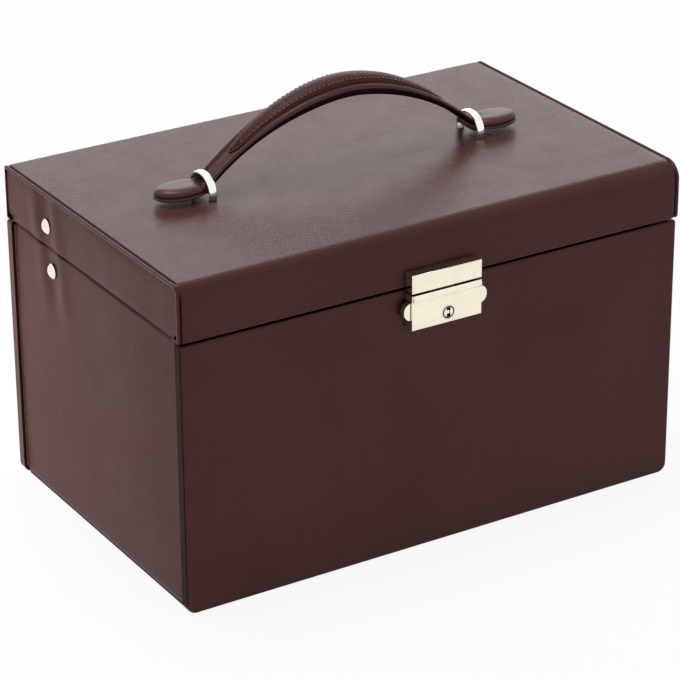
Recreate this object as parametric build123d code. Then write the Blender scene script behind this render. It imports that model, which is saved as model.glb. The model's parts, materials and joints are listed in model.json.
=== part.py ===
from build123d import *
import math
import os

# A leather-covered jewelry case with a lock, a carry handle and two trays that rise with the lid.
# Millimetres. X runs to the right, Y to the back, Z up. The origin is the middle of the underside.

# Outside of the case
case_width = 280.0
case_depth = 178.0
body_height = 139.0
seam_gap = 1.2
lid_height = 28.5
lid_overhang = 1.0
front_edge_radius = 7.5
back_edge_radius = 5.0
panel_corner_radius = 5.0
top_corner_radius = 1.5
side_edge_radius = 1.5
soft_edge_radius = 1.2
lip_edge_radius = 0.6
hem_lift = 0.4
side_lift = 2.8
side_recess = 1.0
lip_groove = 0.6

# Sheets and boards
cover_thickness = 1.6
board_thickness = 4.0
rail_thickness = 4.4
lining_thickness = 0.8
base_sheet_thickness = 1.2
base_sheet_inset = 0.5
floor_pad_thickness = 2.0
divider_thickness = 2.0

# Gaps between pieces
running_gap = 0.3
bore_gap = 0.05
fixed_bore_gap = 0.02
open_pivot_gap = 0.2
hole_gap = 0.1

# Hinges at the back
open_angle = 95.0
hinge_stand_off = 2.0
hinge_place_x = 80.0
hinge_length = 40.0
knuckle_count = 5
knuckle_radius = 1.8
hinge_pin_radius = 0.9
leaf_thickness = 0.5
leaf_inset = 0.2

# Pivots of the tray lift, seen from the side
lid_pivot_from_back = 44.9
lid_pivot_height = 10.6
body_pivot_from_back = 46.8
body_pivot_depth = 11.3
link_pivot_from_front = 27.0
link_pivot_height = 17.0

# Plates and rivets of the tray lift
arm_thickness = 1.2
arm_half_height = 5.0
plate_thickness = 1.0
plate_radius = 5.5
pin_radius = 1.5
pin_head_radius = 3.0
pin_head_thickness = 0.5
pin_seat_depth = 1.25
rivet_shank_radius = 1.6
rivet_flare_radius = 3.2
rivet_flare_thickness = 0.6
rivet_dome_radius = 3.85
rivet_dome_height = 1.8

# Trays
tray_wall = 2.5
tray_floor = 2.0
tray_front_gap = 1.0
tray_end_gap = 1.5
pivot_above_tray = 1.2
upper_tray_height = 33.6
tray_gap = 5.0
lower_tray_height = 41.0
divider_drop = 4.0
upper_bay_x = 44.0
ring_roll_count = 7
ring_roll_height = 20.0
ring_roll_gap = 0.6
cell_row_y = -10.0
pillow_height = 26.0
pillow_radius = 9.0
pillow_crown_radius = 8.0
pillow_gap = 3.0

# Base compartments
base_divider_thickness = 3.0
base_divider_x = -40.0
base_divider_y = 0.0
base_head_room = 12.0

# Mirror in the lid
mirror_width = 112.0
mirror_depth = 84.0
mirror_thickness = 2.0
mirror_middle_y = -18.0
mirror_frame_width = 9.0
mirror_frame_thickness = 3.3
mirror_frame_lap = 2.0
mirror_frame_radius = 6.0

# Lock
lock_width = 39.0
lock_stand_off = 7.0
lock_wall = 1.0
lock_case_height = 17.7
lock_case_drop = 1.0
lock_corner_radius = 0.5
lock_rib_height = 3.5
lock_rib_bulge = 0.8
lock_plate_thickness = 1.0
strike_height = 9.4
strike_drop = 1.2
bar_reach = 3.7
bar_height = 8.9
bar_thickness = 3.2
bar_travel = 2.5
bar_top_gap = 3.8
bar_front_gap = 0.4
key_x = 0.6
key_height = 5.3
key_radius = 3.5
key_slot_width = 2.6
key_slot_height = 5.8
key_slot_depth = 2.6
key_proud = 0.2
post_radius = 0.9
cam_radius = 2.3
cam_length = 4.0
cam_half_width = 1.15
cam_thickness = 0.8
tongue_thickness = 0.6
tongue_half_width = 7.0
tongue_shoulder = 1.8
lug_half_width = 1.3
lug_height = 2.4
lug_thickness = 0.9
lug_gap = 0.5
leaf_spring_length = 24.0
leaf_spring_width = 1.6
leaf_spring_stock = 0.4
lock_pin_radius = 0.9
lock_pin_depth = 4.0
lock_pin_place_x = 14.0
lock_pin_head_radius = 1.8
lock_pin_head = 0.3

# Carry handle
loop_place_x = 76.3
loop_band = 3.5
loop_stock = 1.8
loop_height = 11.5
loop_corner_radius = 7.5
loop_edge_radius = 0.7
washer_radius = 3.6
washer_thickness = 0.6
leg_end = 0.5
strap_width = 15.0
strap_middle_width = 19.6
strap_end_width = 13.0
strap_thickness = 5.8
strap_edge_radius = 1.4
strap_end_gap = 1.2
arch_rise = 42.5
arch_end_height = 5.9
arch_power = 1.9
arch_points = 9
core_reach = 62.0
core_half_width = 6.6
core_rise = 4.0
core_sections = 9
tab_length = 25.6
tab_width = 18.0
tab_thickness = 4.8
tab_lift = 2.7
tab_past_loop = 0.875
tab_edge_radius = 2.0
neck_thickness = 4.2
neck_edge_radius = 2.0

# Planes that follow from the sizes above
half_width = case_width / 2
half_depth = case_depth / 2
body_half_width = half_width - lid_overhang
lid_bottom = body_height + seam_gap
lid_top = lid_bottom + lid_height
slab_inner_y = half_depth - cover_thickness - board_thickness
body_side_outer = body_half_width - side_recess
body_side_board = body_side_outer - cover_thickness
body_side_inner = body_side_board - board_thickness
body_room_x = body_side_inner - lining_thickness
body_room_y = slab_inner_y - lining_thickness
base_top = base_sheet_thickness + board_thickness
base_room_bottom = base_top + floor_pad_thickness
lid_side_outer = half_width - side_recess
lid_side_board = lid_side_outer - cover_thickness
lid_side_inner = lid_side_board - board_thickness
lid_rail_inner_y = half_depth - cover_thickness - rail_thickness
lid_board_bottom = lid_top - cover_thickness - board_thickness
lid_room_x = lid_side_inner - lining_thickness
lid_room_y = lid_rail_inner_y - lining_thickness
lid_room_top = lid_board_bottom - lining_thickness

# Pivot points as (y, z), and the crank that every one of them repeats
hinge_point = (half_depth + hinge_stand_off, body_height + seam_gap / 2)
lid_pivot = (half_depth - lid_pivot_from_back, lid_bottom + lid_pivot_height)
body_pivot = (half_depth - body_pivot_from_back, body_height - body_pivot_depth)
crank = (lid_pivot[0] - hinge_point[0], lid_pivot[1] - hinge_point[1])
upper_pivot = (body_pivot[0] + crank[0], body_pivot[1] + crank[1])
lower_pivot = (body_pivot[0] + crank[0] / 2, body_pivot[1] + crank[1] / 2)
open_turn = math.radians(open_angle)
crank_open_y = crank[0] * math.cos(open_turn) + crank[1] * math.sin(open_turn)
upper_travel_y = crank_open_y - crank[0]

# Layers between the body's lining and the trays, from the outside in
pin_head_face = body_room_x - running_gap
arm_outer = pin_head_face - pin_head_thickness
arm_inner = arm_outer - arm_thickness
flare_face = arm_inner - rivet_flare_thickness
hanger_outer = flare_face - running_gap
hanger_inner = hanger_outer - plate_thickness
upper_tray_half = hanger_inner - running_gap
lower_tray_half = hanger_inner

# Trays: both share their front and back planes
tray_front = -body_room_y + tray_front_gap
tray_back = body_room_y - upper_travel_y / 2 - tray_end_gap
upper_tray_top = lid_pivot[1] - pivot_above_tray
upper_tray_bottom = upper_tray_top - upper_tray_height
lower_tray_top = upper_tray_bottom - tray_gap
lower_tray_bottom = lower_tray_top - lower_tray_height
link_upper = (link_pivot_from_front - half_depth, upper_tray_bottom + link_pivot_height)
link_lower = (link_upper[0] - crank[0] / 2, link_upper[1] - crank[1] / 2)

# Lock planes
lock_half = lock_width / 2
lock_front = -half_depth - lock_stand_off
case_top = body_height - lock_case_drop
case_bottom = case_top - lock_case_height
plate_face = -half_depth - lock_plate_thickness
bar_top = case_top - bar_top_gap
bar_bottom = bar_top - bar_height
bar_front = lock_front + lock_wall + bar_front_gap
bar_back = bar_front + bar_thickness
key_z = case_bottom + key_height
tongue_back = plate_face - running_gap
tongue_front = tongue_back - tongue_thickness
tongue_bottom = key_z + cam_radius + running_gap
slot_bottom = tongue_bottom + tongue_shoulder
lug_bottom = slot_bottom + lug_gap
slot_top = lug_bottom + lug_height + lug_gap

# Handle places
loop_half_width = strap_width / 2 + running_gap + loop_stock
strap_end = loop_place_x - loop_band / 2 - strap_end_gap
neck_end = strap_end + running_gap
tab_middle = loop_place_x + tab_past_loop + tab_length / 2
tab_bottom = lid_top + tab_lift
washer_face = lid_room_top - washer_thickness

# How far a cutting block reaches past the piece that it cuts
over = 5.0


def block(x0, x1, y0, y1, z0, z1):
    """A box between two opposite corners."""
    middle = Pos((x0 + x1) / 2, (y0 + y1) / 2, (z0 + z1) / 2)
    return middle * Box(x1 - x0, y1 - y0, z1 - z0)


def rod_x(place, x0, x1, radius):
    """A round rod along X at a (y, z) place."""
    return Pos((x0 + x1) / 2, place[0], place[1]) * Rot(0, 90, 0) * Cylinder(radius, x1 - x0)


def rod_y(x, z, y0, y1, radius):
    """A round rod along Y."""
    return Pos(x, (y0 + y1) / 2, z) * Rot(90, 0, 0) * Cylinder(radius, y1 - y0)


def both_sides(solid):
    """A piece of the right side and its mirror image on the left."""
    return [solid, mirror(solid, about=Plane.YZ)]


def save(name, *solids):
    """Write one named sub-part, which may be a group of separate solids."""
    shape = solids[0] if len(solids) == 1 else Compound(children=list(solids))
    export_step(shape, os.path.join("parts", name + ".step"))
    print(name, round(sum(solid.volume for solid in solids)))


def lock_pin_holes(gap):
    """The two holes for the pins of the lock, cut along Y through the front panel."""
    z = (case_bottom + case_top) / 2
    holes = [rod_y(x, z, -half_depth - over, -half_depth + lock_pin_depth, lock_pin_radius + gap)
             for x in (-lock_pin_place_x, lock_pin_place_x)]
    return holes[0] + holes[1]


def slab_form(inset):
    """The front panel of the body, or the board inside it when inset is the cover's thickness."""
    slab = block(-body_half_width + inset, body_half_width - inset, -half_depth + inset,
                 -slab_inner_y, hem_lift + inset, body_height - inset)
    uprights = slab.edges().filter_by(Axis.Y)
    slab = fillet(uprights.group_by(Axis.Z)[0], panel_corner_radius - inset)
    if inset == 0:
        slab = fillet(slab.edges().filter_by(Axis.Y).group_by(Axis.Z)[-1], top_corner_radius)
        slab = fillet(slab.faces().sort_by(Axis.Y)[0].edges(), soft_edge_radius)
    return slab


def build_front_and_back():
    """Front and back panels: a board in a leather cover that folds round its edges."""
    board = slab_form(cover_thickness)
    skin = slab_form(0) - board
    front_board = board - lock_pin_holes(fixed_bore_gap)
    front_cover = skin - lock_pin_holes(hole_gap)
    save("body_front_board", front_board)
    save("body_back_board", mirror(board, about=Plane.XZ))
    save("body_front_cover", front_cover)
    save("body_back_cover", mirror(skin, about=Plane.XZ))


def build_sides():
    """Side panels of the body, set a little inside the edges of the front and back panels."""
    hole = rod_x(body_pivot, body_side_inner - over, body_side_outer + over,
                 rivet_shank_radius + hole_gap)
    board = block(body_side_inner, body_side_board, -slab_inner_y, slab_inner_y,
                  base_top, body_height - cover_thickness)
    panel = block(body_side_inner, body_side_outer, -slab_inner_y, slab_inner_y,
                  side_lift, body_height)
    outer_edges = panel.faces().sort_by(Axis.X)[-1].edges()
    panel = fillet(outer_edges, side_edge_radius)
    base_zone = block(0, body_side_board, -slab_inner_y, slab_inner_y, -over, base_top)
    cover = panel - board - base_zone - hole
    board = board - hole
    for side, board_side, cover_side in zip(("right", "left"), both_sides(board), both_sides(cover)):
        save("body_" + side + "_board", board_side)
        save("body_" + side + "_cover", cover_side)


def build_base():
    """Base board, the sheet under it, the lining, the floor pad and the dividers on it."""
    save("body_base_board", block(-body_side_board, body_side_board, -slab_inner_y, slab_inner_y,
                                  base_sheet_thickness, base_top))
    sheet_x = body_side_board - base_sheet_inset
    sheet_y = slab_inner_y - base_sheet_inset
    save("body_base_sheet", block(-sheet_x, sheet_x, -sheet_y, sheet_y, 0, base_sheet_thickness))
    lining_top = body_height - cover_thickness
    lining = block(-body_side_inner, body_side_inner, -slab_inner_y, slab_inner_y,
                   base_top, lining_top)
    lining -= block(-body_room_x, body_room_x, -body_room_y, body_room_y,
                    base_top - over, lining_top + over)
    for hole in both_sides(rod_x(body_pivot, body_room_x - over, body_side_inner + over,
                                 rivet_shank_radius + hole_gap)):
        lining -= hole
    save("body_lining", lining)
    save("base_floor_pad", block(-body_room_x, body_room_x, -body_room_y, body_room_y,
                                 base_top, base_room_bottom))
    top = lower_tray_bottom - base_head_room
    half = base_divider_thickness / 2
    long_divider = block(base_divider_x - half, base_divider_x + half, -body_room_y, body_room_y,
                         base_room_bottom, top)
    cross_divider = block(base_divider_x + half, body_room_x, base_divider_y - half,
                          base_divider_y + half, base_room_bottom, top)
    save("base_dividers", long_divider, cross_divider)


def lid_form(inset, half_length):
    """The lid's body with its large rounded front and back top edges."""
    form = block(-half_length, half_length, -half_depth + inset, half_depth - inset,
                 lid_bottom + inset, lid_top - inset)
    top_edges = form.edges().filter_by(Axis.X).group_by(Axis.Z)[-1].sort_by(Axis.Y)
    form = fillet(top_edges[0], front_edge_radius - inset)
    top_edges = form.edges().filter_by(Axis.X).group_by(Axis.Z)[-1].sort_by(Axis.Y)
    return fillet(top_edges[-1], back_edge_radius - inset)


def leg_holes(x):
    """Holes through the lid for the two legs of one handle loop."""
    leg = block(x - loop_band / 2 - hole_gap, x + loop_band / 2 + hole_gap,
                -loop_half_width - hole_gap, -loop_half_width + loop_stock + hole_gap,
                lid_room_top - over, lid_top + over)
    return leg + mirror(leg, about=Plane.XZ)


def build_lid_shell():
    """Boards of the lid and the leather round them."""
    core = lid_form(cover_thickness, lid_side_board)
    legs = leg_holes(loop_place_x) + leg_holes(-loop_place_x)
    rail_zone = block(-half_width, half_width, -half_depth, -lid_rail_inner_y, 0, lid_top)
    back_zone = mirror(rail_zone, about=Plane.XZ)
    between = block(-half_width, half_width, -lid_rail_inner_y, lid_rail_inner_y,
                    lid_board_bottom, lid_top)
    side_zone = block(lid_side_inner, half_width, -lid_rail_inner_y, lid_rail_inner_y,
                      0, lid_board_bottom)
    rivet_hole = rod_x(lid_pivot, lid_side_inner - over, half_width + over,
                       rivet_shank_radius + hole_gap)
    save("lid_front_rail", core & rail_zone)
    save("lid_back_rail", core & back_zone)
    save("lid_top_board", (core & between) - legs)
    side_rail = (core & side_zone) - rivet_hole

    wrap = lid_form(0, half_width)
    low_edges = wrap.edges().filter_by(Axis.Y).group_by(Axis.Z)[0]
    wrap = fillet(low_edges.sort_by(Axis.X)[-1], top_corner_radius)
    wrap = fillet(wrap.faces().sort_by(Axis.X)[-1].edges(), lip_edge_radius)
    wrap &= block(0, half_width, -half_depth, half_depth, lid_bottom, lid_top)
    wrap += mirror(wrap, about=Plane.YZ)
    wrap -= lid_form(cover_thickness, half_width + over)
    wrap -= block(-half_width - over, half_width + over, -lid_rail_inner_y, lid_rail_inner_y,
                  lid_bottom - over, lid_bottom + cover_thickness + over)
    save("lid_wrap_cover", wrap - legs)

    skin = lid_form(cover_thickness + lip_groove, lid_side_outer)
    skin &= block(lid_side_board, half_width, -half_depth, half_depth, lid_bottom, lid_top)
    skin += block(lid_side_inner, lid_side_outer, -lid_rail_inner_y, lid_rail_inner_y,
                  lid_bottom, lid_bottom + cover_thickness + lip_groove)
    outer_edges = skin.faces().sort_by(Axis.X)[-1].edges()
    hem_edge = outer_edges.sort_by(Axis.Z)[0]
    skin = fillet([edge for edge in outer_edges if edge != hem_edge], lip_edge_radius)
    hem_edge = skin.edges().filter_by(Axis.Y).group_by(Axis.Z)[0].sort_by(Axis.X)[-1]
    skin = fillet(hem_edge, soft_edge_radius)
    rail_foot = block(0, lid_side_board, -half_depth, half_depth, lid_bottom + cover_thickness,
                      lid_top)
    side_cover = skin - rail_foot - rivet_hole
    for side, rail, cover in zip(("right", "left"), both_sides(side_rail), both_sides(side_cover)):
        save("lid_" + side + "_rail", rail)
        save("lid_" + side + "_cover", cover)


def build_lid_inside():
    """Lining of the lid, and the mirror in its frame."""
    bottom = lid_bottom + cover_thickness
    lining = block(-lid_side_inner, lid_side_inner, -lid_rail_inner_y, lid_rail_inner_y,
                   bottom, lid_board_bottom)
    lining -= block(-lid_room_x, lid_room_x, -lid_room_y, lid_room_y, bottom - over, lid_room_top)
    for hole in both_sides(rod_x(lid_pivot, lid_room_x - over, lid_side_inner + over,
                                 rivet_shank_radius + hole_gap)):
        lining -= hole
    lining -= leg_holes(loop_place_x) + leg_holes(-loop_place_x)
    save("lid_lining", lining)

    half_x = mirror_width / 2
    half_y = mirror_depth / 2
    seat_z = lid_room_top - mirror_thickness
    glass = Pos(0, mirror_middle_y, 0) * block(-half_x, half_x, -half_y, half_y,
                                               seat_z, lid_room_top)
    save("lid_mirror", glass)
    wide_x = half_x + mirror_frame_width
    wide_y = half_y + mirror_frame_width
    frame = block(-wide_x, wide_x, -wide_y, wide_y,
                  lid_room_top - mirror_frame_thickness, lid_room_top)
    frame = fillet(frame.edges().filter_by(Axis.Z), mirror_frame_radius)
    frame = fillet(frame.faces().sort_by(Axis.Z)[0].edges(), soft_edge_radius)
    window_x = half_x - mirror_frame_lap
    window_y = half_y - mirror_frame_lap
    frame -= block(-window_x, window_x, -window_y, window_y, lid_bottom, lid_top)
    frame -= block(-half_x - hole_gap, half_x + hole_gap, -half_y - hole_gap, half_y + hole_gap,
                   seat_z, lid_top)
    save("lid_mirror_frame", Pos(0, mirror_middle_y, 0) * frame)


def hinge_leaf(own_first, leaf_bottom, bore_radius):
    """One leaf at x = 0 with every second knuckle, own_first telling which ones."""
    pitch = hinge_length / knuckle_count
    leaf = block(-hinge_length / 2, hinge_length / 2, slab_inner_y + leaf_inset,
                 half_depth - leaf_inset, leaf_bottom, leaf_bottom + leaf_thickness)
    for number in range(own_first, knuckle_count, 2):
        x0 = -hinge_length / 2 + number * pitch + running_gap / 2
        x1 = x0 + pitch - running_gap
        leaf += block(x0, x1, half_depth - 2 * leaf_inset, hinge_point[0],
                      leaf_bottom, leaf_bottom + leaf_thickness)
        leaf += rod_x(hinge_point, x0, x1, knuckle_radius)
    return leaf - rod_x(hinge_point, -hinge_length, hinge_length, bore_radius)


def build_hinges():
    """Two butt hinges whose leaves lie in the seam, with their barrels behind the case."""
    body_leaf = hinge_leaf(0, body_height, hinge_pin_radius + fixed_bore_gap)
    lid_leaf = hinge_leaf(1, lid_bottom - leaf_thickness, hinge_pin_radius + bore_gap)
    pin = rod_x(hinge_point, -hinge_length / 2, hinge_length / 2, hinge_pin_radius)
    save("hinge_body_leaves", *both_sides(Pos(hinge_place_x, 0, 0) * body_leaf))
    save("hinge_lid_leaves", *both_sides(Pos(hinge_place_x, 0, 0) * lid_leaf))
    save("hinge_pins", *both_sides(Pos(hinge_place_x, 0, 0) * pin))


def dome(place, x, radius, height):
    """A shallow round cap that stands out along X."""
    ball = (radius ** 2 + height ** 2) / (2 * height)
    half_angle = math.asin(radius / ball) / 2
    crown = (height - ball + ball * math.cos(half_angle), ball * math.sin(half_angle))
    outline = [Line((0, 0), (0, radius)), ThreePointArc((0, radius), crown, (height, 0)),
               Line((height, 0), (0, 0))]
    return Pos(x, place[0], place[1]) * revolve(make_face(outline), Axis.X)


def build_rivets():
    """Domed rivets: through the body's side into the lift arm, and through the lid into the ear."""
    body_rivet = dome(body_pivot, body_side_outer, rivet_dome_radius, rivet_dome_height)
    body_rivet += rod_x(body_pivot, arm_inner, body_side_outer, rivet_shank_radius)
    body_rivet += rod_x(body_pivot, flare_face, arm_inner, rivet_flare_radius)
    save("body_arm_rivets", *both_sides(body_rivet))
    lid_rivet = dome(lid_pivot, lid_side_outer, rivet_dome_radius, rivet_dome_height)
    lid_rivet += rod_x(lid_pivot, upper_tray_half + hole_gap, lid_side_outer, rivet_shank_radius)
    save("lid_arm_rivets", *both_sides(lid_rivet))


def bar_plate(start, end, half_height, x0, x1):
    """A flat bar with round ends between two (y, z) places."""
    length = math.dist(start, end)
    angle = math.degrees(math.atan2(end[1] - start[1], end[0] - start[0]))
    middle = Pos((x0 + x1) / 2, (start[0] + end[0]) / 2, (start[1] + end[1]) / 2)
    plate = middle * Rot(angle, 0, 0) * Box(x1 - x0, length, 2 * half_height)
    return plate + rod_x(start, x0, x1, half_height) + rod_x(end, x0, x1, half_height)


def headed_pin(place, inner, outer):
    """A pin with a flat head over the outer face of a bar."""
    return rod_x(place, inner, outer, pin_radius) + rod_x(place, outer, outer + pin_head_thickness,
                                                          pin_head_radius)


def build_lift_gear():
    """Lift arms and short links, which turn with the lid, and their pins."""
    arm = bar_plate(upper_pivot, body_pivot, arm_half_height, arm_inner, arm_outer)
    arm -= rod_x(body_pivot, 0, half_width, rivet_shank_radius + bore_gap)
    arm -= rod_x(upper_pivot, 0, half_width, pin_radius + open_pivot_gap)
    arm -= rod_x(lower_pivot, 0, half_width, pin_radius + fixed_bore_gap)
    save("lift_arms", *both_sides(arm))
    save("arm_pivot_pins", *both_sides(headed_pin(lower_pivot, hanger_inner, arm_outer)))
    link = bar_plate(link_upper, link_lower, arm_half_height, arm_inner, arm_outer)
    link -= rod_x(link_upper, 0, half_width, pin_radius + bore_gap)
    link -= rod_x(link_lower, 0, half_width, pin_radius + fixed_bore_gap)
    save("short_links", *both_sides(link))
    save("link_pivot_pins", *both_sides(headed_pin(link_lower, hanger_inner, arm_outer)))


def tray_walls(half, bottom, top):
    """Four separate wall boards of a tray."""
    inner = half - tray_wall
    front = block(-half, half, tray_front, tray_front + tray_wall, bottom, top)
    back = block(-half, half, tray_back - tray_wall, tray_back, bottom, top)
    side = block(inner, half, tray_front + tray_wall, tray_back - tray_wall, bottom, top)
    return [front, back] + both_sides(side)


def tray_floor_board(half, bottom):
    """The floor of a tray, inside its walls."""
    inner = half - tray_wall
    return block(-inner, inner, tray_front + tray_wall, tray_back - tray_wall,
                 bottom, bottom + tray_floor)


def build_upper_tray():
    """Upper tray: ring rolls at the left, small cells in the middle and at the right."""
    half = upper_tray_half
    inner = half - tray_wall
    front = tray_front + tray_wall
    back = tray_back - tray_wall
    floor = upper_tray_bottom + tray_floor
    top = upper_tray_top - divider_drop
    walls = tray_walls(half, upper_tray_bottom, upper_tray_top)
    pins = []
    for place in (upper_pivot, link_upper):
        pins += both_sides(headed_pin(place, half - pin_seat_depth, arm_outer))
        for hole in both_sides(rod_x(place, half - pin_seat_depth, half + over,
                                     pin_radius + fixed_bore_gap)):
            walls[2] -= hole
            walls[3] -= hole
    save("upper_tray_walls", *walls)
    save("upper_pivot_pins", *pins)
    save("upper_tray_floor", tray_floor_board(half, upper_tray_bottom))
    thin = divider_thickness / 2
    bay = upper_bay_x
    middle_y = (front + back) / 2
    dividers = [block(x - thin, x + thin, front, back, floor, top) for x in (-bay, bay)]
    dividers.append(block(-bay + thin, bay - thin, middle_y - thin, middle_y + thin, floor, top))
    for share in (1 / 3, 2 / 3):
        y = front + share * (back - front)
        dividers.append(block(bay + thin, inner, y - thin, y + thin, floor, top))
    save("upper_tray_dividers", *dividers)

    pitch = (back - front) / ring_roll_count
    radius = (pitch - ring_roll_gap) / 2
    rolls = []
    for number in range(ring_roll_count):
        y = front + (number + 0.5) * pitch
        roll = block(-inner + ring_roll_gap, -bay - thin - ring_roll_gap, y - radius, y + radius,
                     floor, floor + ring_roll_height)
        crown = roll.edges().filter_by(Axis.X).group_by(Axis.Z)[-1]
        rolls.append(fillet(crown, radius - ring_roll_gap))
    save("ring_rolls", *rolls)

    ear = block(half, half + plate_thickness, lid_pivot[0] - plate_radius,
                lid_pivot[0] + plate_radius, upper_tray_bottom + tray_floor, lid_pivot[1])
    ear += rod_x(lid_pivot, half, half + plate_thickness, plate_radius)
    ear -= rod_x(lid_pivot, 0, half_width, rivet_shank_radius + bore_gap)
    save("upper_tray_ears", *both_sides(ear))


def build_lower_tray():
    """Lower tray: four cells with pillows at the front and two long cells at the back."""
    half = lower_tray_half
    inner = half - tray_wall
    front = tray_front + tray_wall
    back = tray_back - tray_wall
    floor = lower_tray_bottom + tray_floor
    top = lower_tray_top - divider_drop
    save("lower_tray_walls", *tray_walls(half, lower_tray_bottom, lower_tray_top))
    save("lower_tray_floor", tray_floor_board(half, lower_tray_bottom))
    thin = divider_thickness / 2
    row_y = cell_row_y
    dividers = [block(-inner, inner, row_y - thin, row_y + thin, floor, top)]
    for x in (-inner / 2, 0, inner / 2):
        dividers.append(block(x - thin, x + thin, front, row_y - thin, floor, top))
    dividers.append(block(-thin, thin, row_y + thin, back, floor, top))
    save("lower_tray_dividers", *dividers)

    pillow_half_x = inner / 4 - thin - pillow_gap
    pillows = []
    for share in (-0.75, -0.25, 0.25, 0.75):
        x = share * inner
        pillow = block(x - pillow_half_x, x + pillow_half_x, front + pillow_gap,
                       row_y - thin - pillow_gap, floor, floor + pillow_height)
        pillow = fillet(pillow.edges().filter_by(Axis.Z), pillow_radius)
        pillows.append(fillet(pillow.faces().sort_by(Axis.Z)[-1].edges(), pillow_crown_radius))
    save("watch_pillows", *pillows)

    hangers = []
    for place in (lower_pivot, link_lower):
        plate = block(hanger_inner, hanger_outer, place[0] - plate_radius, place[0] + plate_radius,
                      lower_tray_bottom + lower_tray_height / 2, place[1])
        plate += rod_x(place, hanger_inner, hanger_outer, plate_radius)
        gap = bore_gap if place == lower_pivot else open_pivot_gap
        plate -= rod_x(place, 0, half_width, pin_radius + gap)
        hangers += both_sides(plate)
    save("lower_tray_hangers", *hangers)


def build_lock_case():
    """Pressed lock case on the front panel, its back plate, pins and detent spring."""
    case = block(-lock_half, lock_half, lock_front, -half_depth, case_bottom, case_top)
    case = fillet(case.faces().sort_by(Axis.Y)[0].edges(), lock_corner_radius)
    rib_middle = case_top - lock_rib_height / 2
    rib_half = lock_rib_height / 2
    rib_radius = (rib_half ** 2 + lock_rib_bulge ** 2) / (2 * lock_rib_bulge)
    rib = rod_x((lock_front - lock_rib_bulge + rib_radius, rib_middle),
                -lock_half + lock_corner_radius, lock_half - lock_corner_radius, rib_radius)
    rib &= block(-lock_half, lock_half, lock_front - over, lock_front + lock_wall / 2,
                 case_top - lock_rib_height, case_top)
    case += rib
    case -= block(-lock_half + lock_wall, lock_half - lock_wall, lock_front + lock_wall,
                  -half_depth + over, case_bottom + lock_wall, case_top - lock_wall)
    case -= block(-lock_half - over, lock_half + over, bar_front - running_gap,
                  bar_back + running_gap, bar_bottom - running_gap, bar_top + running_gap)
    case -= block(-tongue_half_width - running_gap, tongue_half_width + running_gap,
                  tongue_front - 2 * running_gap, -half_depth + over,
                  case_top - lock_wall - over, case_top + over)
    case -= rod_y(key_x, key_z, lock_front - over, lock_front + lock_wall + over,
                  key_radius + bore_gap)
    save("lock_case", case)

    edge = hole_gap + lock_wall
    plate = block(-lock_half + edge, lock_half - edge, plate_face, -half_depth,
                  case_bottom + edge, case_top - edge)
    plate -= lock_pin_holes(fixed_bore_gap)
    plate -= rod_y(key_x, key_z, plate_face - over, -half_depth + over,
                   post_radius + fixed_bore_gap)
    save("lock_back_plate", plate)
    pins = []
    pin_z = (case_bottom + case_top) / 2
    for x in (-lock_pin_place_x, lock_pin_place_x):
        pin = rod_y(x, pin_z, plate_face, -half_depth + lock_pin_depth, lock_pin_radius)
        pin += rod_y(x, pin_z, plate_face - lock_pin_head, plate_face, lock_pin_head_radius)
        pins.append(pin)
    save("lock_pins", *pins)
    save("lock_key_post", rod_y(key_x, key_z, lock_front + key_proud, -half_depth, post_radius))

    ceiling = case_top - lock_wall
    low = bar_top + hole_gap
    reach = leaf_spring_length / 2
    lower_bow = ThreePointArc((-reach, ceiling - leaf_spring_stock), (0, low),
                              (reach, ceiling - leaf_spring_stock))
    upper_bow = ThreePointArc((reach, ceiling), (0, low + leaf_spring_stock), (-reach, ceiling))
    right_end = Line((reach, ceiling - leaf_spring_stock), (reach, ceiling))
    left_end = Line((-reach, ceiling), (-reach, ceiling - leaf_spring_stock))
    bow = Plane.XZ * make_face([lower_bow, right_end, upper_bow, left_end])
    spring_front = bar_front + (bar_thickness - leaf_spring_width) / 2
    save("lock_detent_spring", Pos(0, spring_front + leaf_spring_width, 0)
         * extrude(bow, leaf_spring_width))


def build_lock_movers():
    """Slide bar with an ear at each end, key barrel with its slot, and the cam behind it."""
    reach = lock_half + bar_reach
    bar = block(-reach, reach, bar_front, bar_back, bar_bottom, bar_top)
    bar = fillet(bar.edges().filter_by(Axis.Y), bar_height / 2 - running_gap)
    side = key_radius + bar_travel + running_gap
    bar -= block(key_x - side, key_x + side, bar_front - over, bar_back + over,
                 bar_bottom - over, key_z + key_radius + running_gap)
    bar += block(-lug_half_width, lug_half_width, bar_back, bar_back + lug_thickness,
                 lug_bottom, lug_bottom + lug_height)
    save("lock_slide_bar", bar)

    barrel_front = lock_front - key_proud
    barrel = rod_y(key_x, key_z, barrel_front, bar_back, key_radius)
    barrel -= Pos(key_x, barrel_front + key_slot_depth / 2, key_z) * Box(
        key_slot_width, key_slot_depth, key_slot_height)
    barrel -= rod_y(key_x, key_z, barrel_front - over, bar_back + over, post_radius + bore_gap)
    save("lock_key_barrel", barrel)
    cam_back = bar_back + cam_thickness
    cam = rod_y(key_x, key_z, bar_back, cam_back, cam_radius)
    cam += block(key_x - cam_half_width, key_x + cam_half_width, bar_back, cam_back,
                 key_z - cam_length, key_z)
    cam -= rod_y(key_x, key_z, bar_back - over, cam_back + over, post_radius + bore_gap)
    save("lock_cam", cam)


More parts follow.
